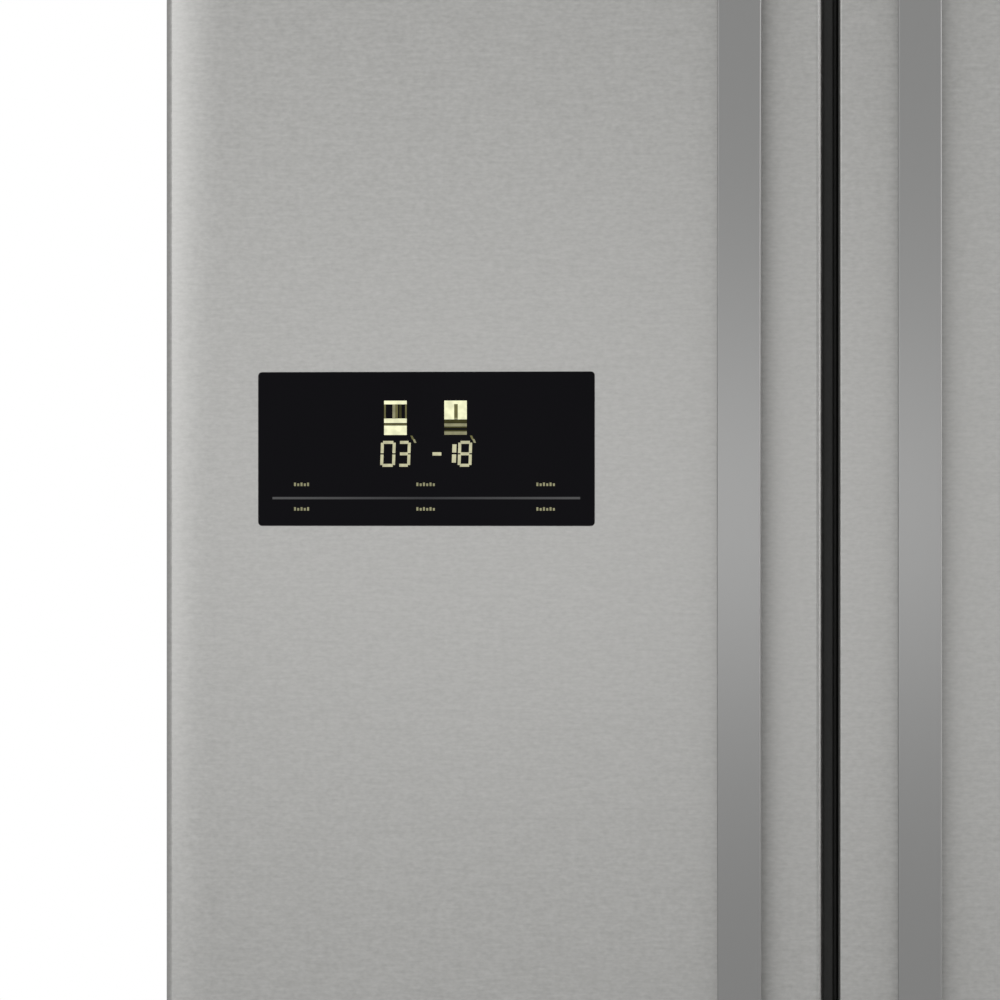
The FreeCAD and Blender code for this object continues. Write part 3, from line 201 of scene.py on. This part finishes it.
def galvanised_sheet():
    """Zinc-coated steel with its crystal spangle."""
    finish = Finish("galvanised_sheet", Metallic=1.0)
    spangle = finish.add("ShaderNodeTexVoronoi", None, {"Vector": finish.place(), "Scale": 130.0})
    grain = finish.number("ShaderNodeSeparateColor", None, {0: spangle.outputs["Color"]})
    streak = finish.noise(40.0, (1, 1, 0.1))
    tone = grain * 0.6 + streak * 0.4
    return finish.set(Base_Color=finish.blend(tone, (0.50, 0.51, 0.52), (0.62, 0.63, 0.64)),
                      Roughness=finish.ramp(grain, 0.0, 1.0, 0.38, 0.48))


def clear_plastic(name, colour, alpha):
    """See-through moulding with a faint flow pattern and a very fine grain."""
    finish = Finish(name, IOR=1.45)
    flow = finish.noise(5.0, (1, 1, 0.4), 2.0)
    grain = finish.noise(700.0, detail=1.0)
    pale = tuple(channel * 0.25 + 0.75 for channel in colour)
    return finish.set(Base_Color=finish.blend(finish.ramp(flow, 0.3, 0.7), colour, pale),
                      Roughness=finish.ramp(grain, 0.3, 0.7, 0.07, 0.12),
                      Alpha=finish.ramp(flow, 0.3, 0.7, alpha - 0.02, alpha + 0.02))


def display_black():
    """Black glass with the faintest wiping marks."""
    finish = Finish("display_black", Specular_IOR_Level=0.03)
    wipes = finish.noise(26.0, (1, 1, 0.35), 3.0)
    tint = finish.noise(6.0, detail=2.0)
    return finish.set(Base_Color=finish.blend(tint, (0.0036, 0.0034, 0.0050), (0.0048, 0.0044, 0.0062)),
                      Roughness=finish.ramp(wipes, 0.3, 0.7, 0.05, 0.12))


def lit_mark(name, colour):
    """A lit piece of the display, a little uneven as a segment's lamp is."""
    finish = Finish(name, Roughness=0.5, Specular_IOR_Level=0.03, Emission_Strength=1.0)
    glow = finish.ramp(finish.noise(260.0, detail=1.0), 0.35, 0.65)
    dim = tuple(channel * 0.8 for channel in colour)
    off = tuple(channel * 0.02 for channel in colour)
    return finish.set(Base_Color=finish.blend(glow, (0.002, 0.002, 0.002), off),
                      Emission_Color=finish.blend(glow, dim, colour))


def divider_print(middle_x, half):
    """Grey printed line that fades towards its middle."""
    finish = Finish("divider_print", Roughness=0.4, Emission_Strength=1.0)
    away = (finish.axis("x") - middle_x).maths("ABSOLUTE")
    fade = finish.ramp(away, 0.0, half)
    return finish.set(Base_Color=finish.blend(fade, (0.01, 0.01, 0.011), (0.035, 0.035, 0.035)),
                      Emission_Color=finish.blend(fade, (0.010, 0.010, 0.012), (0.036, 0.036, 0.038)))


STEEL = brushed_metal("brushed_stainless", "x", (0.655, 0.651, 0.637), (0.515, 0.513, 0.500), 0.34)
SATIN = brushed_metal("satin_bar", "z", (0.434, 0.434, 0.432), (0.418, 0.418, 0.416), 0.28, 0.2)
BLACK_GLASS = display_black()
CASE_PAINT = painted_sheet("case_paint", (0.30, 0.31, 0.32), (0.27, 0.28, 0.29), 0.42)
ZINC = galvanised_sheet()
LINER = textured_plastic("liner_white", (0.82, 0.83, 0.84), (0.77, 0.78, 0.79), 0.28, 500.0, 0.00004)
DUCT = textured_plastic("duct_white", (0.76, 0.77, 0.78), (0.71, 0.72, 0.73), 0.42)
CAP = textured_plastic("door_cap_grey", (0.060, 0.060, 0.062), (0.048, 0.048, 0.050), 0.45)
DARK = textured_plastic("dark_moulding", (0.030, 0.030, 0.031), (0.020, 0.020, 0.021), 0.5)
GASKET = textured_plastic("gasket_rubber", (0.16, 0.16, 0.16), (0.12, 0.12, 0.12), 0.62, 700.0)
# Near-black grey matched to the shaded gap between the doors: painted shade for the mullion plate and the
# strips in the gap.
GAP_PAINTED_SHADE = textured_plastic("gap_painted_shade", (0.036, 0.036, 0.034), (0.030, 0.030, 0.028), 0.55)
CLEAR = clear_plastic("clear_moulding", (0.78, 0.85, 0.88), 0.26)
SHELF_GLASS = clear_plastic("shelf_glass", (0.60, 0.80, 0.73), 0.26)
TRIM = textured_plastic("white_trim", (0.80, 0.81, 0.82), (0.75, 0.76, 0.77), 0.22, 620.0, 0.00003)
LAMP = textured_plastic("lamp_cover", (0.90, 0.90, 0.88), (0.84, 0.84, 0.82), 0.35, 300.0, 0.0001)
FOAM = textured_plastic("foam_core", (0.72, 0.62, 0.36), (0.62, 0.52, 0.28), 0.9, 240.0, 0.0004)
FINS = brushed_metal("fin_aluminium", "z", (0.74, 0.75, 0.76), (0.58, 0.59, 0.60), 0.38)
BLACK_PAINT = painted_sheet("black_paint", (0.016, 0.016, 0.017), (0.010, 0.010, 0.011), 0.35, 260.0)
HINGE = painted_sheet("hinge_steel", (0.20, 0.20, 0.21), (0.15, 0.15, 0.16), 0.36)
NYLON = textured_plastic("nylon_roller", (0.55, 0.54, 0.50), (0.46, 0.45, 0.41), 0.48)
MARK_BRIGHT = lit_mark("mark_bright", (1.0, 1.0, 0.66))
MARK_DIGIT = lit_mark("mark_digit", (0.62, 0.60, 0.39))
MARK_PRINT = lit_mark("mark_print", (0.30, 0.29, 0.17))
MARK_DIM = lit_mark("mark_dim", (0.165, 0.155, 0.065))
MARK_DARK = lit_mark("mark_dark", (0.050, 0.048, 0.016))

NODE_FINISH = {
    "side_panel": CASE_PAINT, "top_panel": CASE_PAINT, "back_panel": ZINC, "machine_cover": ZINC,
    "base_frame": ZINC, "cabinet_foam": FOAM, "_door_core": FOAM, "_door_liner": LINER,
    # The mullion plate is coloured with the gap's painted shade.
    "freezer_liner": LINER, "fridge_liner": LINER, "mullion_plate": GAP_PAINTED_SHADE, "_duct_panel": DUCT,
    "evaporator": FINS, "condenser": FINS, "kick_grille": DARK, "compressor": BLACK_PAINT,
    "drain_pan": DARK, "cord_gland": DARK, "top_hinges": HINGE, "bottom_hinges": HINGE,
    "hinge_covers": CAP, "levelling_foot": DARK, "roller_": NYLON, "display_glass": BLACK_GLASS,
    "_frame": SHELF_GLASS, "_shelf_": SHELF_GLASS, "_drawer_": CLEAR, "crisper_lower": CLEAR,
    "crisper_upper": CLEAR, "_bin_": CLEAR, "dairy_lid": CLEAR, "_door_caps": CAP,
    "_door_gasket": GASKET, "_door_skin": STEEL, "_handle_posts": SATIN, "_handle": SATIN,
}


def dress_nodes():
    """Gives every node of the frame its finish, the longest matching name first."""
    words = sorted(NODE_FINISH, key=len, reverse=True)
    for name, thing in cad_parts.items():
        word = next(word for word in words if word in name)
        for slot in thing.material_slots:
            slot.material = NODE_FINISH[word]


# --- Shapes ------------------------------------------------------------------

CREASE = math.radians(32)
TOUCH = 0.01 * MM
SHARP = 1.0


def settle(name, bm, finish, body):
    """Makes a finished piece of a bmesh: outward faces, smooth but for its creases."""
    bmesh.ops.recalc_face_normals(bm, faces=bm.faces)
    for face in bm.faces:
        face.smooth = True
    for edge in bm.edges:
        edge.smooth = len(edge.link_faces) == 2 and edge.calc_face_angle(0.0) < CREASE
    mesh = bpy.data.meshes.new(name)
    bm.to_mesh(mesh)
    bm.free()
    piece = bpy.data.objects.new(name, mesh)
    bpy.context.scene.collection.objects.link(piece)
    mesh.materials.append(finish)
    even = piece.modifiers.new("even_normals", "WEIGHTED_NORMAL")
    even.keep_sharp = True
    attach(piece, body)
    return piece


def round_off(bm, edges, radius, segments):
    bmesh.ops.bevel(bm, geom=edges, offset=radius, affect="EDGES", segments=segments,
                    profile=0.5, material=-1)


def corners(node):
    """The lowest and highest corner of a node of the frame."""
    return [Vector(point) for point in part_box(node)]


def slab(bm, low, high, soft=0.0, segments=3):
    """Adds a box between two corners, its edges rounded."""
    made = bmesh.ops.create_cube(bm, size=1.0)["verts"]
    low, high = Vector(low), Vector(high)
    span = high - low
    bmesh.ops.scale(bm, vec=span, verts=made)
    bmesh.ops.translate(bm, vec=(low + high) / 2, verts=made)
    if soft:
        edges = list({edge for vert in made for edge in vert.link_edges})
        round_off(bm, edges, min(soft, min(span) * 0.49), segments)


# --- Doors -------------------------------------------------------------------

CORNER = 5 * MM
LATCH_CORNER = {"freezer": 4 * MM, "fridge": 1.5 * MM}
CROWN = 160 * MM
CROWN_ANGLE = math.radians(11)
SHEET = 1.2 * MM


def door_skin(side, outward):
    """Steel wrap of a door: soft roll at the hinge edge, small corner at the latch."""
    low, high = corners(side + "_door_skin")
    hinge_x, latch_x = (high.x, low.x) if outward > 0 else (low.x, high.x)
    flat = (CROWN - CORNER) * math.sin(CROWN_ANGLE) + CORNER
    tilt = math.tan(CROWN_ANGLE)
    roll_end = flat - CROWN * math.tan(CROWN_ANGLE / 2)
    outline = [(hinge_x, high.y), (hinge_x, low.y + roll_end * tilt),
               (hinge_x - outward * roll_end, low.y), (latch_x, low.y), (latch_x, high.y)]
    bm = bmesh.new()
    ring = [bm.verts.new((x, y, low.z)) for x, y in outline]
    base = bm.faces.new(ring)
    grown = bmesh.ops.extrude_face_region(bm, geom=[base])["geom"]
    bmesh.ops.translate(bm, vec=(0, 0, high.z - low.z),
                        verts=[item for item in grown if isinstance(item, bmesh.types.BMVert)])

    def uprights(x, y):
        return [edge for edge in bm.edges
                if all(abs(vert.co.x - x) < TOUCH and abs(vert.co.y - y) < TOUCH for vert in edge.verts)]

    round_off(bm, uprights(*outline[2]), CROWN * math.tan(CROWN_ANGLE / 2), 14)
    round_off(bm, uprights(*outline[1]), CORNER * math.tan((math.pi / 2 - CROWN_ANGLE) / 2), 10)
    round_off(bm, uprights(*outline[3]), LATCH_CORNER[side], 10)
    open_faces = [face for face in bm.faces
                  if abs(face.normal.z) > 0.9 or all(vert.co.y > high.y - TOUCH for vert in face.verts)]
    bmesh.ops.delete(bm, geom=open_faces, context="FACES")
    if side == "freezer":
        open_window(bm, low.y)
    bmesh.ops.recalc_face_normals(bm, faces=bm.faces)
    front = max(bm.faces, key=lambda face: face.calc_area())
    if front.normal.y > 0:
        bmesh.ops.reverse_faces(bm, faces=bm.faces)
    bmesh.ops.solidify(bm, geom=bm.faces[:], thickness=SHEET)
    piece = settle(side + "_door_wrap", bm, STEEL, side + "_door")
    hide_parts(side + "_door_skin")


WINDOW_REST = 1.5 * MM


def open_window(bm, front_y):
    """Cuts the display's opening, which the glass covers by a narrow rest."""
    low, high = corners("display_glass")
    for point, normal in (((low.x + WINDOW_REST, 0, 0), (1, 0, 0)),
                          ((high.x - WINDOW_REST, 0, 0), (1, 0, 0)),
                          ((0, 0, low.z + WINDOW_REST), (0, 0, 1)),
                          ((0, 0, high.z - WINDOW_REST), (0, 0, 1))):
        bmesh.ops.bisect_plane(bm, geom=bm.verts[:] + bm.edges[:] + bm.faces[:], dist=1e-6,
                               plane_co=point, plane_no=normal)
    inside = []
    for face in bm.faces:
        middle = face.calc_center_median()
        if low.x < middle.x < high.x and low.z < middle.z < high.z and abs(middle.y - front_y) < 1e-4:
            inside.append(face)
    bmesh.ops.delete(bm, geom=inside, context="FACES")


BAR_THICK = 12 * MM
BAR_CUTS = 79


def handle_bar(side):
    """Bowed flat bar with its long edges rounded; its middle stands furthest from the door."""
    low, high = corners(side + "_handle")
    half = (high.z - low.z) / 2
    bow = (high.y - low.y) - BAR_THICK
    radius = (half * half + bow * bow) / (2 * bow)
    level = (low.z + high.z) / 2
    bm = bmesh.new()
    slab(bm, low, (high.x, low.y + BAR_THICK, high.z))
    uprights = [edge for edge in bm.edges if abs(edge.verts[0].co.z - edge.verts[1].co.z) > half]
    bmesh.ops.subdivide_edges(bm, edges=uprights, cuts=BAR_CUTS, use_grid_fill=True)
    round_off(bm, [edge for edge in bm.edges if edge_of_bar(edge, low.x, high.x)], 0.9 * MM, 4)
    for vert in bm.verts:
        rise = vert.co.z - level
        vert.co.y += radius - math.sqrt(radius * radius - rise * rise)
    piece = settle(side + "_bar", bm, SATIN, side + "_door")
    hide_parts(side + "_handle")


def edge_of_bar(edge, left, right):
    at_side = all(min(abs(vert.co.x - left), abs(vert.co.x - right)) < TOUCH for vert in edge.verts)
    return at_side and edge.calc_face_angle(0.0) > SHARP


# --- Display -----------------------------------------------------------------

GLASS_THICK = 0.4 * MM
GLASS_CORNER = 2.4 * MM
TRAY_CLEAR = 0.2 * MM


def display_plate():
    """The glass: a thin rounded plate that rests on the steel, and its tray behind."""
    low, high = corners("display_glass")
    bm = bmesh.new()
    slab(bm, low, (high.x, low.y + GLASS_THICK, high.z))
    uprights = [edge for edge in bm.edges if abs(edge.verts[0].co.y - edge.verts[1].co.y) > TOUCH]
    round_off(bm, uprights, GLASS_CORNER, 6)
    rim = [edge for edge in bm.edges if all(vert.co.y < low.y + TOUCH for vert in edge.verts)]
    round_off(bm, rim, 0.15 * MM, 2)
    inset = WINDOW_REST + TRAY_CLEAR
    slab(bm, (low.x + inset, low.y + GLASS_THICK, low.z + inset),
         (high.x - inset, high.y, high.z - inset), 0.5 * MM)
    piece = settle("display_plate", bm, BLACK_GLASS, "freezer_door")
    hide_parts("display_glass")


MARK_PROUD = 0.12 * MM
MARK_SUNK = 0.05 * MM


class Face:
    """Flat marks on the display, placed in millimetres from the glass's upper left corner."""

    def __init__(self):
        low, high = corners("display_glass")
        self.left = low.x
        self.top = high.z
        self.front = low.y
        self.wide = (high.x - low.x) / MM
        self.groups = {}

    def bar(self, finish, x0, y0, x1, y1, lean=0.0):
        """A small raised bar; lean shifts its top to the right."""
        bm = self.groups.setdefault(finish.name, (finish, bmesh.new()))[1]
        before = set(bm.verts)
        slab(bm, (self.left + x0 * MM, self.front - MARK_PROUD, self.top - y1 * MM),
             (self.left + x1 * MM, self.front + MARK_SUNK, self.top - y0 * MM))
        for vert in set(bm.verts) - before:
            if vert.co.z > self.top - (y0 + y1) / 2 * MM:
                vert.co.x += lean * MM

    def finish(self):
        for name, (finish, bm) in self.groups.items():
            piece = settle("display_" + name, bm, finish, "freezer_door")


SEGMENTS = {"0": "abcdef", "3": "abcdg", "1": "bc", "8": "abcdefg"}


def digit(face, finish, sign, x0, y0, wide, tall, stroke, lean):
    """A seven-segment figure with small gaps between its segments."""
    gap = stroke * 0.22
    half = tall / 2
    upper = lean * 0.5

    def shift(y):
        return lean * (tall - (y - y0)) / tall

    spots = {
        "a": (x0 + stroke * 0.75, y0, x0 + wide - stroke * 0.75, y0 + stroke),
        "g": (x0 + stroke * 0.85, y0 + half - stroke / 2,
              x0 + wide - stroke * 0.85, y0 + half + stroke / 2),
        "d": (x0 + stroke * 0.75, y0 + tall - stroke, x0 + wide - stroke * 0.75, y0 + tall),
        "f": (x0, y0 + stroke * 0.6, x0 + stroke, y0 + half - gap),
        "b": (x0 + wide - stroke, y0 + stroke * 0.6, x0 + wide, y0 + half - gap),
        "e": (x0, y0 + half + gap, x0 + stroke, y0 + tall - stroke * 0.6),
        "c": (x0 + wide - stroke, y0 + half + gap, x0 + wide, y0 + tall - stroke * 0.6),
    }
    for letter in SEGMENTS[sign]:
        left, top, right, bottom = spots[letter]
        move = shift(bottom)
        face.bar(finish, left + move, top, right + move, bottom,
                 upper * (bottom - top) / half if letter in "bcef" else 0.0)


def temperature_icons(face):
    """Two small cabinets: one with its drawers lit, the other with its doors lit."""
    left, right, top = 77.1, 90.9, 17.5
    face.bar(MARK_BRIGHT, left, top, right, 19.7)
    face.bar(MARK_DIM, left, 19.7, left + 1.0, 28.1)
    face.bar(MARK_PRINT, 82.2, 19.7, 83.9, 28.1)
    face.bar(MARK_DIM, 83.9, 19.7, 85.5, 28.1)
    face.bar(MARK_DARK, 86.3, 19.7, 87.7, 28.1)
    face.bar(MARK_DIM, right - 1.0, 19.7, right, 28.1)
    face.bar(MARK_BRIGHT, left, 28.3, right, 31.0)
    face.bar(MARK_DIM, left, 31.4, right, 32.1)
    face.bar(MARK_BRIGHT, left, 32.6, right, 38.3)

    left, right = 113.8, 127.5
    face.bar(MARK_BRIGHT, left, top, right, 19.6)
    face.bar(MARK_BRIGHT, left, 19.6, 119.8, 28.9)
    face.bar(MARK_BRIGHT, 122.0, 19.6, right, 28.9)
    face.bar(MARK_DIM, 119.8, 19.6, 122.0, 27.9)
    face.bar(MARK_PRINT, 119.8, 27.9, 122.0, 28.9)
    face.bar(MARK_DARK, left, 29.1, right, 31.0)
    face.bar(MARK_PRINT, left, 31.3, right, 33.2)
    face.bar(MARK_DARK, left, 33.4, right, 34.1)
    face.bar(MARK_DARK, left, 35.3, right, 36.0)
    face.bar(MARK_PRINT, left, 36.2, right, 38.2)


DASH_ROWS = (67.2, 82.1)
DASH_GROUPS = ((22.0, 5), (96.8, 6), (169.8, 6))
DASH_STEP, DASH_WIDE, DASH_TALL = 2.0, 1.2, 2.1


def word_marks(face):
    """Rows of plain dashes where the keys are named, every second one a little shorter."""
    for top in DASH_ROWS:
        for left, count in DASH_GROUPS:
            for index in range(count):
                drop = 0.5 if index % 2 else 0.0
                start = left + index * DASH_STEP
                face.bar(MARK_PRINT, start, top + drop, start + DASH_WIDE, top + DASH_TALL)


STROKE = 1.8
LINE_TOP, LINE_FOOT = 75.9, 77.3
LINE_HALF = 93.8


def display_marks():
    face = Face()
    temperature_icons(face)
    level, tall = 41.9, 15.7
    digit(face, MARK_DIGIT, "0", 74.7, level, 9.0, tall, STROKE, 0.5)
    digit(face, MARK_DIGIT, "3", 85.0, level, 7.9, tall, STROKE, 0.5)
    face.bar(MARK_DIGIT, 106.6, 48.8, 112.0, 50.8)
    digit(face, MARK_DIGIT, "1", 115.8, level + 0.6, 5.0, tall - 1.6, 2.5, 0.5)
    digit(face, MARK_DIGIT, "8", 121.9, level, 8.4, tall, STROKE, 0.5)
    for left in (93.2, 129.5):
        face.bar(MARK_DIM, left + 0.9, 38.7, left + 2.2, 41.0, -1.0)
        face.bar(MARK_PRINT, left + 2.3, 40.8, left + 3.6, 43.1, -1.0)
    word_marks(face)
    centre = face.wide / 2
    print_line = divider_print(face.left + centre * MM, LINE_HALF * MM)
    face.bar(print_line, centre - LINE_HALF, LINE_TOP, centre + LINE_HALF, LINE_FOOT)
    face.finish()


# --- Fittings ----------------------------------------------------------------

MOULDING = 2.6 * MM
TRAY_BODIES = {
    "freezer_bin_1": "freezer_door_bin_low", "freezer_bin_2": "freezer_door_bin_mid",
    "freezer_bin_3": "freezer_door_bin_high", "fridge_bin_1": "fridge_door_bin_low",
    "fridge_bin_2": "fridge_door_bin_mid", "fridge_bin_3": "dairy_bin",
    "freezer_drawer_lower": "freezer_box_low", "freezer_drawer_upper": "freezer_box_high",
    "crisper_lower": "crisper_box_low", "crisper_upper": "crisper_box_high",
}


def tray(node, corner, foot):
    """An open moulded box with round uprights and a rounded foot."""
    low, high = corners(node)
    bm = bmesh.new()
    slab(bm, low, high)
    lid = max(bm.faces, key=lambda face: face.calc_center_median().z)
    bmesh.ops.delete(bm, geom=[lid], context="FACES_ONLY")
    uprights = [edge for edge in bm.edges if abs(edge.verts[0].co.z - edge.verts[1].co.z) > TOUCH]
    round_off(bm, uprights, corner, 6)
    base = [edge for edge in bm.edges
            if all(vert.co.z < low.z + TOUCH for vert in edge.verts) and edge.calc_face_angle(0.0) > SHARP]
    round_off(bm, base, foot, 4)
    bmesh.ops.recalc_face_normals(bm, faces=bm.faces)
    if min(bm.faces, key=lambda face: face.calc_center_median().z).normal.z > 0:
        bmesh.ops.reverse_faces(bm, faces=bm.faces)
    bmesh.ops.solidify(bm, geom=bm.faces[:], thickness=MOULDING)
    piece = settle(node + "_moulding", bm, CLEAR, TRAY_BODIES[node])
    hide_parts(node)
    return low, high


PROUD = 0.05 * MM
BAND_DEEP = 14 * MM
GRIP_DEEP = 34 * MM


def door_bin(node):
    """A bin with a white band along its rim, on the side that faces the room."""
    low, high = tray(node, 12 * MM, 6 * MM)
    bm = bmesh.new()
    slab(bm, (low.x + 13 * MM, high.y - 1.6 * MM, high.z - BAND_DEEP),
         (high.x - 13 * MM, high.y + PROUD, high.z), 0.7 * MM)
    settle(node + "_band", bm, TRIM, TRAY_BODIES[node])


def drawer_box(node):
    """A drawer whose front carries a full-width grip, with a finger ledge behind it."""
    low, high = tray(node, 9 * MM, 8 * MM)
    bm = bmesh.new()
    slab(bm, (low.x + 10 * MM, low.y - PROUD, high.z - GRIP_DEEP),
         (high.x - 10 * MM, low.y + 9 * MM, high.z), 2.5 * MM)
    slab(bm, (low.x + 60 * MM, low.y + 8 * MM, high.z - 30 * MM),
         (high.x - 60 * MM, low.y + 22 * MM, high.z - 24 * MM), 2 * MM)
    settle(node + "_grip", bm, TRIM, TRAY_BODIES[node])


PANE_RISE = 7 * MM
PANE_THICK = 5 * MM
PANE_INSET = 3 * MM
TRIM_DEEP, TRIM_TALL = 12 * MM, 14 * MM
BACK_DEEP, BACK_RISE = 10 * MM, 3 * MM


def shelf(node):
    """A glass pane held in a white trim at its front and back."""
    low, high = corners(node)
    level = low.z + PANE_RISE
    bm = bmesh.new()
    slab(bm, (low.x, low.y + PANE_INSET, level),
         (high.x, high.y - PANE_INSET, level + PANE_THICK), 1.2 * MM)
    piece = settle(node + "_pane", bm, SHELF_GLASS, "cabinet")
    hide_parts(node)
    bm = bmesh.new()
    slab(bm, low, (high.x, low.y + TRIM_DEEP, low.z + TRIM_TALL), 3 * MM, 4)
    slab(bm, (low.x, high.y - BACK_DEEP, low.z + BACK_RISE), high, 1.5 * MM)
    settle(node + "_trim", bm, TRIM, "cabinet")


LAMP_HALF = 70 * MM
LAMP_FRONT, LAMP_BACK = -60 * MM, 10 * MM
LAMP_DROP = 12 * MM
RIBS = 9
RIB_STEP = 14 * MM
RIB_INSET = 6 * MM


def lamp(side):
    """A ribbed lamp cover under the roof of one compartment, in line with its shelves."""
    low, high = corners(side + "_shelf_1")
    across = (low.x + high.x) / 2
    roof = corners("mullion_plate")[1].z
    bm = bmesh.new()
    slab(bm, (across - LAMP_HALF, LAMP_FRONT, roof - LAMP_DROP),
         (across + LAMP_HALF, LAMP_BACK, roof), 4 * MM, 4)
    for index in range(RIBS):
        rib = across + (index - RIBS // 2) * RIB_STEP
        slab(bm, (rib - 2.5 * MM, LAMP_FRONT + RIB_INSET, roof - LAMP_DROP - 1.2 * MM),
             (rib + 2.5 * MM, LAMP_BACK - RIB_INSET, roof - LAMP_DROP + 1 * MM), 0.8 * MM, 2)
    settle(side + "_lamp_cover", bm, LAMP, "cabinet")


# --- Scene -------------------------------------------------------------------

def edge_strips():
    """Strips inside the gap, a stepped one on the freezer door and a thin one on the other, in a
    near-black grey that is painted shade of the gap.
    """
    low, high = corners("freezer_door_skin")
    bm = bmesh.new()
    slab(bm, (high.x - 0.5 * MM, low.y + 14 * MM, low.z + 2 * MM),
         (high.x + 6.4 * MM, low.y + 30 * MM, high.z - 2 * MM), 1.2 * MM)
    slab(bm, (high.x + 4.0 * MM, low.y + 19 * MM, low.z + 4 * MM),
         (high.x + 8.4 * MM, low.y + 28 * MM, high.z - 4 * MM), 1.0 * MM)
    settle("freezer_edge_strip", bm, GAP_PAINTED_SHADE, "freezer_door")

    low, high = corners("fridge_door_skin")
    bm = bmesh.new()
    slab(bm, (low.x - 0.9 * MM, low.y + 5 * MM, low.z + 2 * MM),
         (low.x + 0.4 * MM, low.y + 22 * MM, high.z - 2 * MM), 0.3 * MM)
    settle("fridge_edge_strip", bm, GAP_PAINTED_SHADE, "fridge_door")


FLOOR_RADIUS = 6.0


def stage():
    bm = bmesh.new()
    bmesh.ops.create_circle(bm, cap_ends=True, segments=64, radius=FLOOR_RADIUS)
    mesh = bpy.data.meshes.new("floor")
    bm.to_mesh(mesh)
    bm.free()
    floor = bpy.data.objects.new("floor", mesh)
    bpy.context.scene.collection.objects.link(floor)
    finish = Finish("studio_floor", Roughness=0.6)
    cloud = finish.noise(0.8, detail=2.0)
    paint = finish.blend(cloud, (0.80, 0.80, 0.80), (0.84, 0.84, 0.84))
    mesh.materials.append(finish.set(Base_Color=paint))


def softbox(name, place, aim, wide, tall, watts):
    light = bpy.data.lights.new(name, "AREA")
    light.shape = "RECTANGLE"
    light.size = wide
    light.size_y = tall
    light.energy = watts
    thing = bpy.data.objects.new(name, light)
    thing.location = place
    thing.rotation_euler = (Vector(aim) - Vector(place)).to_track_quat("-Z", "Y").to_euler()
    thing.visible_camera = False
    bpy.context.scene.collection.objects.link(thing)


LIGHT_FRONT, LIGHT_BACK = 0.50, 0.40
LIGHT_FOOT = 0.68
SOFTBOXES = (
    ("front_box", (-0.5, -3.6, 1.27), (-0.25, -0.3, 1.25), 1.5, 0.45, 2.1),
    ("left_box", (-2.0, -3.0, 2.0), (-0.45, -0.3, 1.3), 0.7, 2.4, 7),
    ("right_box", (2.8, -2.0, 1.95), (0.0, -0.3, 1.3), 2.0, 2.6, 21),
    ("top_box", (0.3, -1.2, 3.6), (0, 0, 1.2), 2.6, 2.0, 20),
)


def studio():
    """White sweep for the eye; softer grey light that fades downwards and behind the cabinet."""
    world = bpy.data.worlds.new("studio")
    bpy.context.scene.world = world
    world.use_nodes = True
    nodes = Nodes(world.node_tree)
    nodes.tree.nodes.clear()
    direction = nodes.add("ShaderNodeTexCoord").outputs["Generated"]
    split = nodes.add("ShaderNodeSeparateXYZ", None, {0: direction})
    ahead = nodes.ramp(split.outputs["Y"], -0.5, 0.6, LIGHT_FRONT, LIGHT_BACK)
    rise = nodes.ramp(split.outputs["Z"], -0.35, 0.0, LIGHT_FOOT, 1.0)
    light = nodes.add("ShaderNodeBackground", None,
                      {"Color": (1.0, 1.0, 0.99, 1), "Strength": ahead * rise})
    white = nodes.add("ShaderNodeBackground", None, {"Color": (1, 1, 1, 1), "Strength": 1.0})
    seen = nodes.add("ShaderNodeLightPath").outputs["Is Camera Ray"]
    mix = nodes.add("ShaderNodeMixShader", None, {0: seen, 1: light.outputs[0], 2: white.outputs[0]})
    nodes.add("ShaderNodeOutputWorld", None, {"Surface": mix.outputs[0]})
    for details in SOFTBOXES:
        softbox(*details)


CAMERA_RIGHT = 15 * MM
CAMERA_AHEAD = 3.0
CAMERA_BELOW_DISPLAY = 31 * MM
CAMERA_TURN = math.radians(5.047)
FOCAL_LENGTH = 179.0


def camera():
    """Three metres ahead of the doors, right of the gap, turned a little to the left."""
    low, high = corners("display_glass")
    level = (low.z + high.z) / 2 - CAMERA_BELOW_DISPLAY
    lens = bpy.data.cameras.new("camera")
    lens.sensor_width = 36
    lens.lens = FOCAL_LENGTH
    lens.clip_end = 60
    thing = bpy.data.objects.new("camera", lens)
    thing.location = (CAMERA_RIGHT, corners("freezer_door_skin")[0].y - CAMERA_AHEAD, level)
    thing.rotation_euler = (math.pi / 2, 0, CAMERA_TURN)
    bpy.context.scene.collection.objects.link(thing)
    bpy.context.scene.camera = thing


dress_nodes()
for side, outward in (("freezer", -1), ("fridge", 1)):
    door_skin(side, outward)
    handle_bar(side)
edge_strips()
for name in TRAY_BODIES:
    if "_bin_" in name:
        door_bin(name)
    else:
        drawer_box(name)
for name in sorted(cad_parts):
    if "_shelf_" in name:
        shelf(name)
for side in ("freezer", "fridge"):
    lamp(side)
display_plate()
display_marks()
stage()
studio()
camera()
bpy.context.scene.view_settings.view_transform = "Standard"
